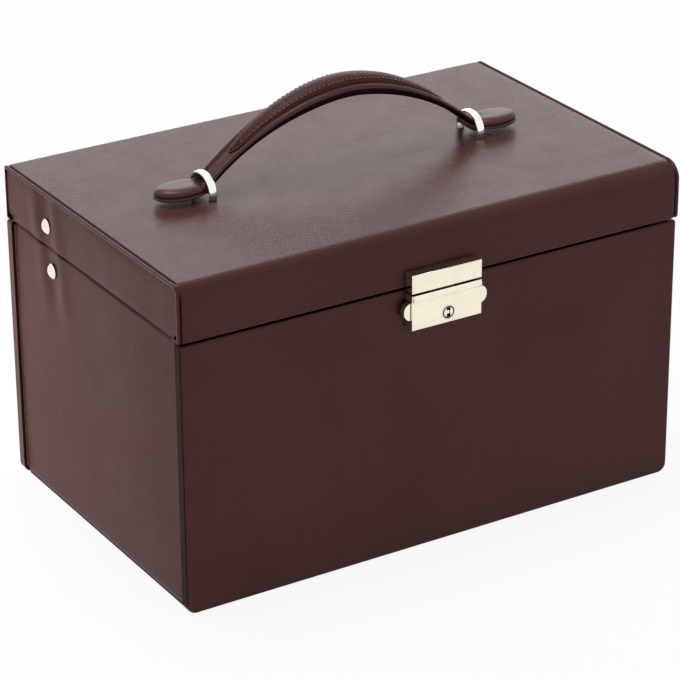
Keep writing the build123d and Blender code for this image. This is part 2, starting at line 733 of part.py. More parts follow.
def build_strike():
    """Strike plate on the lid, and the slotted tongue in it that drops into the lock case."""
    bottom = lid_bottom - strike_drop
    top = bottom + strike_height
    strike = block(-lock_half, lock_half, lock_front, -half_depth, bottom, top)
    strike = fillet(strike.faces().sort_by(Axis.Y)[0].edges(), lock_corner_radius)
    strike -= block(-lock_half + lock_wall, lock_half - lock_wall, lock_front + lock_wall,
                    -half_depth + over, bottom + lock_wall, top - lock_wall)
    tongue = block(-tongue_half_width, tongue_half_width, tongue_front, tongue_back,
                   tongue_bottom, top - lock_wall)
    stem = lug_half_width + lug_gap
    tongue -= block(-stem, stem, tongue_front - over, tongue_back + over,
                    tongue_bottom - over, slot_top)
    wide = stem + bar_travel
    tongue -= block(-wide, wide, tongue_front - over, tongue_back + over, slot_bottom, slot_top)
    save("lid_strike_plate", strike - tongue)
    save("lid_lock_tongue", tongue)


def arch_height(x):
    """Height of the strap's upper edge above the lid's top, x from the middle."""
    share = abs(x) / loop_place_x
    return arch_rise - (arch_rise - arch_end_height) * share ** arch_power


def arch_curve(drop):
    """The strap's long curve from left to right, lowered by drop."""
    points = []
    for number in range(-arch_points, arch_points + 1):
        x = strap_end * number / arch_points
        points.append((x, lid_top + arch_height(x) - drop))
    return Spline(*points)


def build_strap():
    """The arched strap and the padded core sewn onto it."""
    upper = arch_curve(0)
    lower = arch_curve(strap_thickness)
    ends = [Line(upper @ 0, lower @ 0), Line(upper @ 1, lower @ 1)]
    side = Plane.XZ * make_face([upper, ends[1], lower, ends[0]])
    strap = extrude(side, strap_middle_width / 2, both=True)
    far = strap_end_width / 2
    wide = strap_middle_width / 2
    front = ThreePointArc((-strap_end, -far), (0, -wide), (strap_end, -far))
    back = ThreePointArc((strap_end, far), (0, wide), (-strap_end, far))
    plan = make_face([front, Line(front @ 1, back @ 0), back, Line(back @ 1, front @ 0)])
    strap &= extrude(plan, lid_top + arch_rise + over)
    long_edges = strap.edges().filter_by(lambda edge: edge.length > strap_end)
    strap = fillet(long_edges, strap_edge_radius)
    save("handle_strap", strap)

    sections = []
    for number in range(core_sections):
        angle = math.pi * (number + 0.5) / core_sections
        x = -core_reach * math.cos(angle)
        size = math.sin(angle)
        seat = lid_top + arch_height(x) - strap_edge_radius / 2
        half = core_half_width * size
        rise = core_rise * size + strap_edge_radius / 2
        crown = ThreePointArc((-half, seat), (0, seat + rise), (half, seat))
        seat_line = Line((half, seat), (-half, seat))
        sections.append(Plane.YZ.offset(x) * make_face([crown, seat_line]))
    core = loft(sections)
    save("handle_core", core - strap)


def build_loops():
    """Two nickel loops whose legs go through the lid, with a washer under each leg."""
    loops = []
    washers = []
    top = lid_top + loop_height
    bottom = washer_face - leg_end
    for x in (-loop_place_x, loop_place_x):
        x0 = x - loop_band / 2
        x1 = x + loop_band / 2
        loop = block(x0, x1, -loop_half_width, loop_half_width, bottom, top)
        loop = fillet(loop.edges().filter_by(Axis.X).group_by(Axis.Z)[-1], loop_corner_radius)
        for end in (0, -1):
            rim_edges = loop.faces().sort_by(Axis.X)[end].edges().sort_by(Axis.Z)[1:]
            loop = fillet(rim_edges, loop_edge_radius)
        inner = loop_half_width - loop_stock
        hollow = block(x0 - over, x1 + over, -inner, inner, bottom - over, top - loop_stock)
        hollow = fillet(hollow.edges().filter_by(Axis.X).group_by(Axis.Z)[-1],
                        loop_corner_radius - loop_stock)
        loops.append(loop - hollow)
        for y in (-loop_half_width + loop_stock / 2, loop_half_width - loop_stock / 2):
            washer = Pos(x, y, washer_face + washer_thickness / 2) * Cylinder(washer_radius,
                                                                             washer_thickness)
            slot = Pos(x, y, washer_face) * Box(loop_band + 2 * fixed_bore_gap,
                                                loop_stock + 2 * fixed_bore_gap, over)
            washers.append(washer - slot)
    save("handle_loops", *loops)
    save("handle_loop_washers", *washers)


def build_tabs():
    """Oval tabs at the ends of the handle, too wide to pull through the loops."""
    oval = Pos(tab_middle, 0, tab_bottom) * extrude(Ellipse(tab_length / 2, tab_width / 2),
                                                    tab_thickness)
    oval = fillet(oval.faces().sort_by(Axis.Z)[-1].edges(), tab_edge_radius)
    oval = fillet(oval.faces().sort_by(Axis.Z)[0].edges(), tab_edge_radius)
    rim = (tab_thickness - neck_thickness) / 2
    neck = block(neck_end, tab_middle, -strap_width / 2, strap_width / 2,
                 tab_bottom + rim, tab_bottom + rim + neck_thickness)
    neck = fillet(neck.edges().filter_by(Axis.X), neck_edge_radius)
    right, left = both_sides(oval + neck)
    save("handle_tab_right", right)
    save("handle_tab_left", left)


def main():
    """Build every sub-part."""
    os.makedirs("parts", exist_ok=True)
    build_front_and_back()
    build_sides()
    build_base()
    build_lid_shell()
    build_lid_inside()
    build_hinges()
    build_rivets()
    build_lift_gear()
    build_upper_tray()
    build_lower_tray()
    build_lock_case()
    build_lock_movers()
    build_strike()
    build_strap()
    build_loops()
    build_tabs()


main()
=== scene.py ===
"""Dress the leather jewelry case: its handle, velvet trays, finishes, light and camera."""

import json
import logging
import math
from dataclasses import dataclass
from enum import Enum
from functools import lru_cache
from typing import Callable, Iterable, Sequence

import bmesh
import bpy
from mathutils import Matrix, Vector, noise


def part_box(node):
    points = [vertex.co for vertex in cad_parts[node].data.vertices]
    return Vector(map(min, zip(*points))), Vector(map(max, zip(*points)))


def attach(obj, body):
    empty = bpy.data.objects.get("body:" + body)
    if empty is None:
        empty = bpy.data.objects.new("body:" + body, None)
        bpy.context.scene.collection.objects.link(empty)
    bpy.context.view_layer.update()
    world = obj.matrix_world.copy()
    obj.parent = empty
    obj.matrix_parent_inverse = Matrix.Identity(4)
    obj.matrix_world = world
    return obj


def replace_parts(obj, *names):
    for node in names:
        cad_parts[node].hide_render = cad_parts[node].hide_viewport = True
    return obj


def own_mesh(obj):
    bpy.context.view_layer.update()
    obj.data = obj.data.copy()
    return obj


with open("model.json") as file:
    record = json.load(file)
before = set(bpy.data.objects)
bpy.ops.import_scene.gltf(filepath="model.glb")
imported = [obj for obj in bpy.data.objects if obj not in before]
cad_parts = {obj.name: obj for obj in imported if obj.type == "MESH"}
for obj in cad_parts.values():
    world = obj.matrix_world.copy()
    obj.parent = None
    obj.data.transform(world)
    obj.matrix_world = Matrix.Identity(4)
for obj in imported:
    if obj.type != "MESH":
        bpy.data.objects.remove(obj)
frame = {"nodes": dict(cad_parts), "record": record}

LOG = logging.getLogger("jewelry_case")
MM = 0.001
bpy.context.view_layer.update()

Point = tuple[float, float, float]
Colour = tuple[float, float, float]
Socket = bpy.types.NodeSocket
Tree = bpy.types.NodeTree
Piece = bpy.types.Object
Face = bpy.types.MeshPolygon
Move = Callable[[Vector], Vector]


@lru_cache(maxsize=None)
def place_of(node: str) -> tuple[Vector, Vector]:
    """Lowest and highest corner of a CAD node, in metres."""
    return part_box(node)


def clamp(value: float, low: float = 0.0, high: float = 1.0) -> float:
    """A value held between two limits."""
    return max(low, min(high, value))


def smooth(value: float) -> float:
    """An eased step from 0 to 1."""
    share = clamp(value)
    return share * share * (3 - 2 * share)


def swell(value: float, power: float) -> float:
    """A value taken to a power that keeps its sign."""
    return math.copysign(abs(value) ** power, value)


def scaled(colour: Colour, share: float) -> Colour:
    """A colour made darker by a share."""
    return tuple(share * value for value in colour)


# Shader building


class Nodes:
    """A short way to write one node tree."""

    def __init__(self, tree: Tree) -> None:
        """Write on a tree that may already hold nodes."""
        self.tree = tree

    def add(self, kind: str, feeds: dict | None = None, **values: object) -> bpy.types.Node:
        """Add a node.

        Args:
            kind: the node's type name.
            feeds: what each input gets, by name or number.
            values: properties of the node itself.

        Returns:
            The new node.
        """
        node = self.tree.nodes.new(kind)
        for name, value in values.items():
            setattr(node, name, value)
        for name, source in (feeds or {}).items():
            self.feed(node.inputs[name], source)
        return node

    def feed(self, target: Socket, source: object) -> None:
        """Give an input a socket, a number or a colour.

        Args:
            target: the input socket.
            source: an output socket, a number, or three or four numbers.
        """
        if isinstance(source, bpy.types.NodeSocket):
            self.tree.links.new(source, target)
        elif isinstance(source, (int, float)):
            target.default_value = source
        elif len(target.default_value) == 4:
            target.default_value = (*source[:3], 1.0)
        else:
            target.default_value = source

    def math(self, operation: str, *inputs: object) -> Socket:
        """A math node's result."""
        return self.add("ShaderNodeMath", dict(enumerate(inputs)), operation=operation).outputs[0]

    def vector(self, operation: str, *inputs: object) -> Socket:
        """A vector math node's result."""
        node = self.add("ShaderNodeVectorMath", dict(enumerate(inputs)), operation=operation)
        return node.outputs[1] if operation == "DOT_PRODUCT" else node.outputs[0]

    def mix(self, share: object, first: object, second: object) -> Socket:
        """A colour between two colours."""
        feeds = {"Factor": share, 6: first, 7: second}
        return self.add("ShaderNodeMix", feeds, data_type="RGBA").outputs[2]

    def ramp(self, value: object, low: float, high: float,
             to_low: float = 0.0, to_high: float = 1.0) -> Socket:
        """A value taken from one range to another, held at its ends.

        Args:
            value: the value.
            low: start of the first range.
            high: its end.
            to_low: start of the second range.
            to_high: its end.

        Returns:
            The taken value.
        """
        feeds = {"Value": value, "From Min": low, "From Max": high, "To Min": to_low,
                 "To Max": to_high}
        return self.add("ShaderNodeMapRange", feeds).outputs["Result"]

    def cloud(self, where: object, scale: object, detail: float = 2.0,
              roughness: float = 0.5, distortion: float = 0.0) -> Socket:
        """Soft noise between 0 and 1.

        Args:
            where: the place.
            scale: spots per metre.
            detail: how many finer layers there are.
            roughness: how strong those are.
            distortion: how far the spots are bent.

        Returns:
            The noise.
        """
        feeds = {"Vector": where, "Scale": scale, "Detail": detail, "Roughness": roughness,
                 "Distortion": distortion}
        return self.add("ShaderNodeTexNoise", feeds).outputs["Fac"]

    def place(self) -> Socket:
        """Place on the piece, in metres, as the piece was modelled."""
        return self.add("ShaderNodeTexCoord").outputs["Object"]

    def set(self, node: bpy.types.Node, **inputs: object) -> None:
        """Feed a node's inputs, whose names are given with _ for each blank."""
        for name, source in inputs.items():
            self.feed(node.inputs[name.replace("_", " ")], source)

    def group(self, tree: Tree, **inputs: object) -> Sequence[Socket]:
        """The outputs of a node group that is placed with its own values.

        Args:
            tree: the group's tree.
            inputs: its inputs, with _ for each blank in their names.

        Returns:
            The group's outputs.
        """
        node = self.add("ShaderNodeGroup", node_tree=tree)
        self.set(node, **inputs)
        return node.outputs

    def bump(self, shader: bpy.types.Node, height: Socket, strength: float,
             depth: float) -> None:
        """Give a shader fine relief, in metres, from a height."""
        feeds = {"Strength": strength, "Distance": depth, "Height": height}
        self.feed(shader.inputs["Normal"], self.add("ShaderNodeBump", feeds).outputs["Normal"])

    def seen(self) -> Socket:
        """1 for rays from the camera or off a shiny face, 0 for light that falls on things.

        Returns:
            The mask.
        """
        rays = self.add("ShaderNodeLightPath").outputs
        shiny = self.math("MAXIMUM", rays["Is Glossy Ray"], rays["Is Transmission Ray"])
        return self.math("MAXIMUM", rays["Is Camera Ray"], shiny)


class Effect:
    """A shader node group that several finishes share."""

    def __init__(self, name: str, inputs: dict[str, object], outputs: dict[str, str]) -> None:
        """Make the group's tree and its sockets.

        Args:
            name: the group's name.
            inputs: input names with their first values; None stands for a place.
            outputs: output names with their socket kinds.
        """
        self.tree = bpy.data.node_groups.new(name, "ShaderNodeTree")
        self.nodes = Nodes(self.tree)
        for socket, value in inputs.items():
            kind = "Vector" if value is None else "Float" if isinstance(value, float) else "Color"
            made = self.tree.interface.new_socket(socket, in_out="INPUT",
                                                  socket_type="NodeSocket" + kind)
            if value is not None:
                made.default_value = value if kind == "Float" else (*value, 1.0)
        for socket, kind in outputs.items():
            self.tree.interface.new_socket(socket, in_out="OUTPUT",
                                           socket_type="NodeSocket" + kind)
        self.inputs = self.nodes.add("NodeGroupInput").outputs
        self.outputs = self.nodes.add("NodeGroupOutput").inputs

    def put(self, name: str, source: Socket) -> None:
        """Feed one of the group's outputs."""
        self.nodes.feed(self.outputs[name], source)


def pebble_grain() -> Tree:
    """Fine embossed leather grain: small rounded pebbles with pores.

    Returns:
        The node group, which gives a height and a mask of the pebbles' tops.
    """
    effect = Effect("pebble_grain", {"Place": None, "Pebble Scale": 1500.0, "Pore Depth": 0.3},
                    {"Height": "Float", "Tops": "Float"})
    n, place = effect.nodes, effect.inputs["Place"]
    feeds = {"Vector": place, "Scale": effect.inputs["Pebble Scale"], "Smoothness": 0.6}
    pebbles = n.add("ShaderNodeTexVoronoi", feeds, feature="SMOOTH_F1")
    tops = n.ramp(pebbles.outputs["Distance"], 0.15, 0.75, 1.0, 0.0)
    pores = n.cloud(place, 2600.0, 1.0, 0.6)
    effect.put("Height", n.math("SUBTRACT", tops,
                                n.math("MULTIPLY", pores, effect.inputs["Pore Depth"])))
    effect.put("Tops", tops)
    return effect.tree


def broad_mottle() -> Tree:
    """Slow change of colour over a surface.

    Returns:
        The node group, which mixes two colours.
    """
    effect = Effect("broad_mottle",
                    {"Place": None, "Scale": 20.0, "Light Colour": (0.1, 0.05, 0.05),
                     "Dark Colour": (0.05, 0.02, 0.02)}, {"Colour": "Color"})
    n = effect.nodes
    mask = n.ramp(n.cloud(effect.inputs["Place"], effect.inputs["Scale"], 3.0), 0.3, 0.7)
    effect.put("Colour", n.mix(mask, effect.inputs["Dark Colour"], effect.inputs["Light Colour"]))
    return effect.tree


def rubbed_edge_and_highlight() -> Tree:
    """Mask of outer edges and corners, broken up by small noise: partly rubbed edges, partly a
    painted highlight along them.

    Returns:
        The node group, which gives the mask.
    """
    effect = Effect("rubbed_edge_and_highlight", {"Place": None, "Width": 0.001, "Break Up": 0.5},
                    {"Mask": "Float"})
    n = effect.nodes
    normal = n.add("ShaderNodeNewGeometry").outputs["Normal"]
    # edges found by the bevel's rounded normal get rubbing and a painted highlight
    eased = n.add("ShaderNodeBevel", {"Radius": effect.inputs["Width"]}, samples=4)
    edge = n.ramp(n.vector("DOT_PRODUCT", normal, eased.outputs["Normal"]), 0.97, 0.75)
    broken = n.ramp(n.cloud(effect.inputs["Place"], 420.0, 3.0, 0.6), 0.35, 0.65, 1.0, 0.0)
    kept = n.math("SUBTRACT", 1.0, n.math("MULTIPLY", broken, effect.inputs["Break Up"]))
    effect.put("Mask", n.math("MULTIPLY", edge, kept))
    return effect.tree


def fine_dust() -> Tree:
    """A thin layer of dust on faces that look up.

    Returns:
        The node group, which gives the dust's mask.
    """
    effect = Effect("fine_dust", {"Place": None, "Amount": 0.1}, {"Mask": "Float"})
    n = effect.nodes
    normal = n.add("ShaderNodeNewGeometry").outputs["Normal"]
    up = n.ramp(n.add("ShaderNodeSeparateXYZ", {0: normal}).outputs["Z"], 0.5, 1.0)
    specks = n.ramp(n.cloud(effect.inputs["Place"], 900.0, 4.0, 0.7), 0.5, 0.8)
    effect.put("Mask", n.math("MULTIPLY", n.math("MULTIPLY", up, specks), effect.inputs["Amount"]))
    return effect.tree


def painted_seam_shade() -> Tree:
    """Painted shade in seams, grooves and under rims: ambient occlusion darkens the colour.

    Returns:
        The node group, which gives the painted shade's mask.
    """
    effect = Effect("painted_seam_shade", {"Reach": 0.004}, {"Mask": "Float"})
    n = effect.nodes
    # painted shade: where faces lie close by, the colour goes dark
    sky = n.add("ShaderNodeAmbientOcclusion", {"Distance": effect.inputs["Reach"]}, samples=6)
    effect.put("Mask", n.ramp(sky.outputs["AO"], 0.4, 0.9, 0.95, 0.0))
    return effect.tree


def brushed_lines() -> Tree:
    """Fine drawn lines of a polished or rolled metal.

    Returns:
        The node group, which gives the lines' height.
    """
    effect = Effect("brushed_lines", {"Place": None, "Across": 40.0, "Along": 900.0},
                    {"Height": "Float"})
    n, along = effect.nodes, effect.inputs["Along"]
    join = n.add("ShaderNodeCombineXYZ", {0: effect.inputs["Across"], 1: along, 2: along})
    stretched = n.vector("MULTIPLY", effect.inputs["Place"], join.outputs[0])
    effect.put("Height", n.cloud(stretched, 1.0, 3.0, 0.6))
    return effect.tree


def velvet_nap() -> Tree:
    """Short velvet nap: fibre ends and brushed patches.

    Returns:
        The node group, which gives the fibres' height and the brushed patches.
    """
    effect = Effect("nap", {"Place": None, "Fibre Scale": 3000.0},
                    {"Height": "Float", "Patches": "Float"})
    n, place = effect.nodes, effect.inputs["Place"]
    effect.put("Height", n.cloud(place, effect.inputs["Fibre Scale"]))
    effect.put("Patches", n.ramp(n.cloud(place, 45.0, 3.0, 0.55, 0.6), 0.35, 0.65))
    return effect.tree


class Effects:
    """Every shared effect, each built once."""

    def __init__(self) -> None:
        """Build the node groups."""
        self.grain = pebble_grain()
        self.mottle = broad_mottle()
        # edge mask: rubbing and painted highlight
        self.rubbing_and_highlight = rubbed_edge_and_highlight()
        self.dust = fine_dust()
        # painted shade in seams and grooves
        self.seams = painted_seam_shade()
        self.lines = brushed_lines()
        self.nap = velvet_nap()


# Finishes


@dataclass(frozen=True)
class Finish:
    """What every finish has: a name and the shader's plain settings."""

    name: str
    colour: Colour
    roughness: float = 0.5

    def start(self) -> tuple[bpy.types.Material, Nodes, bpy.types.Node]:
        """Make an empty material.

        Returns:
            The material, its node writer and its Principled shader.
        """
        material = bpy.data.materials.new(self.name)
        material.use_nodes = True
        material.node_tree.nodes.clear()
        n = Nodes(material.node_tree)
        shader = n.add("ShaderNodeBsdfPrincipled",
                       {"Base Color": self.colour, "Roughness": self.roughness})
        n.add("ShaderNodeOutputMaterial", {"Surface": shader.outputs["BSDF"]})
        material.diffuse_color = (*self.colour, 1.0)
        return material, n, shader

    def build(self, effects: Effects) -> bpy.types.Material:
        """Make the material.

        Args:
            effects: the shared node groups.

        Returns:
            The finished material.
        """
        raise NotImplementedError


@dataclass(frozen=True)
class Leather(Finish):
    """Smooth coated leather cloth with a fine pebble grain."""

    dark: Colour = (0.05, 0.02, 0.02)
    # lighter colour of pebble tops and edges: partly rubbed, partly a painted highlight on the
    # edges
    rubbed_and_highlight_colour: Colour = (0.2, 0.12, 0.12)
    dust: Colour = (0.3, 0.26, 0.25)
    # colour of the painted shade in seams and grooves
    paint_shade: Colour = (0.004, 0.001, 0.001)
    tint: Colour = (1.0, 0.78, 0.76)
    dusty: float = 0.012
    grain_depth: float = 0.00011
    pebble_scale: float = 1500.0
    edge_width: float = 0.0008
    seam_reach: float = 0.003
    specular: float = 0.11
    gloss: float = 0.03

    def build(self, effects: Effects) -> bpy.types.Material:
        """Make the leather material.

        Args:
            effects: the shared node groups.

        Returns:
            The finished material.
        """
        material, n, shader = self.start()
        place = n.place()
        grain = n.group(effects.grain, Place=place, Pebble_Scale=self.pebble_scale)
        mottle, = n.group(effects.mottle, Place=place, Scale=16.0, Light_Colour=self.colour,
                          Dark_Colour=self.dark)
        rubbing_and_highlight, = n.group(effects.rubbing_and_highlight, Place=place, Width=self.edge_width, Break_Up=0.7)
        dust, = n.group(effects.dust, Place=place, Amount=self.dusty)
        seams, = n.group(effects.seams, Reach=self.seam_reach)
        tinted = n.mix(n.math("MULTIPLY", grain["Tops"], 0.25), mottle, self.rubbed_and_highlight_colour)
        edged = n.mix(n.math("MULTIPLY", rubbing_and_highlight, 0.5), tinted, self.rubbed_and_highlight_colour)
        rough = n.ramp(n.cloud(place, 60.0, 4.0, 0.6), 0.3, 0.7,
                       self.roughness - 0.05, self.roughness + 0.06)
        # painted shade in seams darkens the colour; the lighter edges are partly rubbed, partly a
        # painted highlight
        n.set(shader, Base_Color=n.mix(seams, n.mix(dust, edged, self.dust), self.paint_shade),
              Roughness=n.math("ADD", rough, n.math("MULTIPLY", rubbing_and_highlight, -0.08)),
              Specular_IOR_Level=self.specular, Specular_Tint=self.tint,
              Coat_Weight=self.gloss, Coat_Roughness=0.2)
        n.bump(shader, grain["Height"], 0.5, self.grain_depth)
        return material


@dataclass(frozen=True)
class Plated(Finish):
    """Polished plated metal with soft drawn lines."""

    # near-white colour of the metal's edges: a painted highlight, partly rubbed
    rubbed_and_highlight_colour: Colour = (0.99, 0.98, 0.95)
    # colour of the painted shade in seams and gaps
    seam_shade_colour: Colour = (0.05, 0.045, 0.04)
    line_depth: float = 0.000004
    line_scale: float = 900.0

    def build(self, effects: Effects) -> bpy.types.Material:
        """Make the metal material.

        Args:
            effects: the shared node groups.

        Returns:
            The finished material.
        """
        material, n, shader = self.start()
        place = n.place()
        lines, = n.group(effects.lines, Place=place, Along=self.line_scale)
        rubbing_and_highlight, = n.group(effects.rubbing_and_highlight, Place=place, Width=0.0004, Break_Up=0.2)
        seams, = n.group(effects.seams, Reach=0.0009)
        tone = n.mix(n.ramp(n.cloud(place, 110.0, 3.0), 0.35, 0.65), self.colour,
                     scaled(self.colour, 0.94))
        smear = n.ramp(n.cloud(place, 240.0, 4.0, 0.6, 0.8), 0.3, 0.8,
                       self.roughness * 0.8, self.roughness * 1.4)
        # painted shade in seams; the near-white edges are a painted highlight, partly rubbed
        n.set(shader, Metallic=1.0, Roughness=smear,
              Base_Color=n.mix(seams, n.mix(rubbing_and_highlight, tone, self.rubbed_and_highlight_colour), self.seam_shade_colour))
        n.bump(shader, lines, 0.35, self.line_depth)
        return material


@dataclass(frozen=True)
class Velvet(Finish):
    """Short pile velvet on boards or pads."""

    light: Colour = (0.6, 0.5, 0.4)
    sheen: float = 0.5
    depth: float = 0.0002

    def build(self, effects: Effects) -> bpy.types.Material:
        """Make the velvet material.

        Args:
            effects: the shared node groups.

        Returns:
            The finished material.
        """
        material, n, shader = self.start()
        pile = n.group(effects.nap, Place=n.place())
        brushed = n.mix(n.math("MULTIPLY", pile["Patches"], 0.6), self.colour, self.light)
        shaded = n.mix(n.ramp(pile["Height"], 0.3, 0.7, 0.35, 0.0), brushed,
                       scaled(self.colour, 0.55))
        n.set(shader, Base_Color=shaded, Sheen_Weight=self.sheen, Sheen_Roughness=0.4)
        n.bump(shader, pile["Height"], 0.6, self.depth)
        return material


@dataclass(frozen=True)
class Board(Finish):
    """Pressed fibreboard with flecks."""

    def build(self, effects: Effects) -> bpy.types.Material:
        """Make the board material.

        Args:
            effects: the shared node groups.

        Returns:
            The finished material.
        """
        material, n, shader = self.start()
        place = n.place()
        mottle, = n.group(effects.mottle, Place=place, Scale=240.0, Light_Colour=self.colour,
                          Dark_Colour=scaled(self.colour, 0.62))
        n.set(shader, Base_Color=mottle)
        n.bump(shader, n.cloud(place, 1800.0, 3.0), 0.4, 0.0001)
        return material


@dataclass(frozen=True)
class MirrorGlass(Finish):
    """Silvered glass, slightly duller where it was wiped."""

    def build(self, effects: Effects) -> bpy.types.Material:
        """Make the mirror material.

        Args:
            effects: the shared node groups; not used.

        Returns:
            The finished material.
        """
        material, n, shader = self.start()
        place = n.place()
        rough = n.ramp(n.cloud(place, 55.0, 4.0, 0.6, 1.5), 0.4, 0.8,
                       self.roughness, self.roughness + 0.05)
        tone = n.mix(n.ramp(n.cloud(place, 9.0), 0.3, 0.7), self.colour,
                     scaled(self.colour, 0.96))
        n.set(shader, Metallic=1.0, Roughness=rough, Base_Color=tone)
        return material


@dataclass(frozen=True)
class Thread(Finish):
    """Twisted sewing thread."""

    def build(self, effects: Effects) -> bpy.types.Material:
        """Make the thread material.

        Args:
            effects: the shared node groups; not used.

        Returns:
            The finished material.
        """
        material, n, shader = self.start()
        twist = n.cloud(n.place(), 2600.0, 1.0)
        n.set(shader, Base_Color=n.mix(twist, scaled(self.colour, 0.6), self.colour))
        n.bump(shader, twist, 0.5, 0.0001)
        return material


class Slot(Enum):
    """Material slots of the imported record."""

    CASE_LEATHER = "case_leather"
    HANDLE_LEATHER = "handle_leather"
    BOARD = "board"
    BASE_CLOTH = "base_cloth"
    LINING_VELVET = "lining_velvet"
    SOFT_VELVET = "soft_velvet"
    MIRROR_GLASS = "mirror_glass"
    NICKEL = "nickel"
    STEEL = "steel"


# Every slot's finish, then the finishes of small places within a slot.
FINISHES: tuple[Finish, ...] = (
    Leather("case_leather", (0.067, 0.022, 0.02), 0.25, dark=(0.053, 0.0155, 0.014),
            rubbed_and_highlight_colour=(0.12, 0.058, 0.056)),
    Leather("handle_leather", (0.068, 0.017, 0.0165), 0.3, dark=(0.046, 0.01, 0.0105),
            rubbed_and_highlight_colour=(0.15, 0.07, 0.07), pebble_scale=2000.0, edge_width=0.0006, gloss=0.28,
            seam_reach=0.0012),
    Board("board", (0.36, 0.27, 0.18), 0.85),
    Velvet("base_cloth", (0.03, 0.022, 0.022), 0.95, light=(0.06, 0.045, 0.045), sheen=0.2),
    Velvet("lining_velvet", (0.4, 0.31, 0.22), 0.9, light=(0.52, 0.42, 0.32)),
    Velvet("soft_velvet", (0.44, 0.35, 0.26), 0.9, light=(0.58, 0.48, 0.37), sheen=0.6),
    MirrorGlass("mirror_glass", (0.9, 0.91, 0.9), 0.02),
    Plated("nickel", (0.93, 0.88, 0.72), 0.11),
    Plated("steel", (0.6, 0.59, 0.57), 0.3, line_depth=0.00001, line_scale=1400.0),
    Thread("plum_thread", (0.22, 0.1, 0.1), 0.5),
    # near-black painted shade for the lock's sunk ring and slots
    Plated("painted_shade_recess", (0.02, 0.018, 0.016), 0.45),
    Plated("bright_nickel", (0.93, 0.92, 0.89), 0.06),
    Leather("core_leather", (0.052, 0.0125, 0.0122), 0.38, dark=(0.034, 0.0075, 0.0075),
            rubbed_and_highlight_colour=(0.11, 0.05, 0.05), pebble_scale=1000.0, grain_depth=0.00025,
            seam_reach=0.0012),
    # near-black leather for the strap's and front cover's edges: partly edge paint, partly painted
    # shade on sides in shadow
    Leather("edge_paint_and_painted_shade", (0.016, 0.0045, 0.0045), 0.35, dark=(0.01, 0.003, 0.003),
            rubbed_and_highlight_colour=(0.05, 0.02, 0.02), pebble_scale=2400.0, grain_depth=0.00004,
            specular=0.03, gloss=0.0),
    # a darker, less shiny copy of the case leather for the side covers: painted shade
    Leather("shaded_leather_for_sides", (0.062, 0.02, 0.0185), 0.3, dark=(0.05, 0.0145, 0.0132),
            rubbed_and_highlight_colour=(0.12, 0.058, 0.056), specular=0.065, gloss=0.0, dusty=0.006),
    # near-black board: painted shade where the boards show in the gap under the covers
    Board("shade_dark_board", (0.032, 0.015, 0.014), 0.8),
)
# boards that show in the gap under the side covers, darkened there as painted shade
SHADE_DARK_BOARDS = ("body_left_board", "body_right_board", "body_base_board")


class Wardrobe:
    """Every material of the scene, made once."""

    def __init__(self) -> None:
        """Build all the finishes."""
        effects = Effects()
        self.materials = {finish.name: finish.build(effects) for finish in FINISHES}

    def dress(self, piece: Piece, name: str) -> None:
        """Give a whole piece one material."""
        piece.data.materials.clear()
        piece.data.materials.append(self.materials[name])

    def paint_shade(self, piece: Piece, name: str, chosen: Callable[[Face], bool]) -> None:
        """Give the chosen faces of a piece a second, darker material, which paints shade on them.

        Args:
            piece: the piece.
            name: the material's name.
            chosen: whether a face gets the material.
        """
        # painted shade on the chosen faces
        piece.data.materials.append(self.materials[name])
        for face in piece.data.polygons:
            face.material_index = int(chosen(face))

    def set_up(self, piece: Piece, slot: Slot, body: str, special: str | None = None) -> None:
        """Dress a piece and ride it on a body.

        Args:
            piece: the piece.
            slot: the record's material slot.
            body: the body that the piece rides on.
            special: name of a finish to show in place of the slot's own.
        """
        self.dress(piece, special or slot.value)
        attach(piece, body)
        LOG.info("%s rides on %s", piece.name, body)

    def dress_nodes(self) -> None:
        """Give every CAD node the finish of the slot that the record names for it; the side and
        base boards get a near-black board as painted shade.
        """
        for part in frame["record"]["subparts"]:
            in_shade_gap = part["node"] in SHADE_DARK_BOARDS
            name = "shade_dark_board" if in_shade_gap else Slot(part["material_slot"]).value
            self.dress(frame["nodes"][part["node"]], name)


# Meshes


def link(name: str, data: bpy.types.ID) -> Piece:
    """A new object in the scene, from a mesh, a lamp or a camera.

    Args:
        name: the piece's name.
        data: its mesh, lamp or camera.

    Returns:
        The new object.
    """
    piece = bpy.data.objects.new(name, data)
    bpy.context.scene.collection.objects.link(piece)
    return piece


def mesh_piece(name: str, points: Iterable[Sequence[float]], faces: Iterable[Sequence[int]],
               smooth_faces: bool = True) -> Piece:
    """Make a mesh object in the row frame.

    Args:
        name: the piece's name.
        points: its corners, in metres.
        faces: its faces, as corner numbers.
        smooth_faces: whether it is shaded smooth.

    Returns:
        The new object.
    """
    mesh = bpy.data.meshes.new(name)
    mesh.from_pydata([tuple(p) for p in points], [], [tuple(f) for f in faces])
    mesh.validate()
    bm = bmesh.new()
    bm.from_mesh(mesh)
    bmesh.ops.recalc_face_normals(bm, faces=bm.faces)
    bm.to_mesh(mesh)
    bm.free()
    for face in mesh.polygons:
        face.use_smooth = smooth_faces
    return link(name, mesh)


def bmesh_piece(name: str, bm: bmesh.types.BMesh) -> Piece:
    """A new object of a bmesh, which is freed.

    Args:
        name: the piece's name.
        bm: its form, which is freed.

    Returns:
        The new object.
    """
    mesh = bpy.data.meshes.new(name)
    bm.to_mesh(mesh)
    bm.free()
    return link(name, mesh)


def modify(piece: Piece, name: str, kind: str, **values: object) -> None:
    """Give a piece a modifier with its settings.

    Args:
        piece: the piece.
        name: the modifier's name.
        kind: its type name.
        values: its settings.
    """
    modifier = piece.modifiers.new(name, kind)
    for key, value in values.items():
        setattr(modifier, key, value)


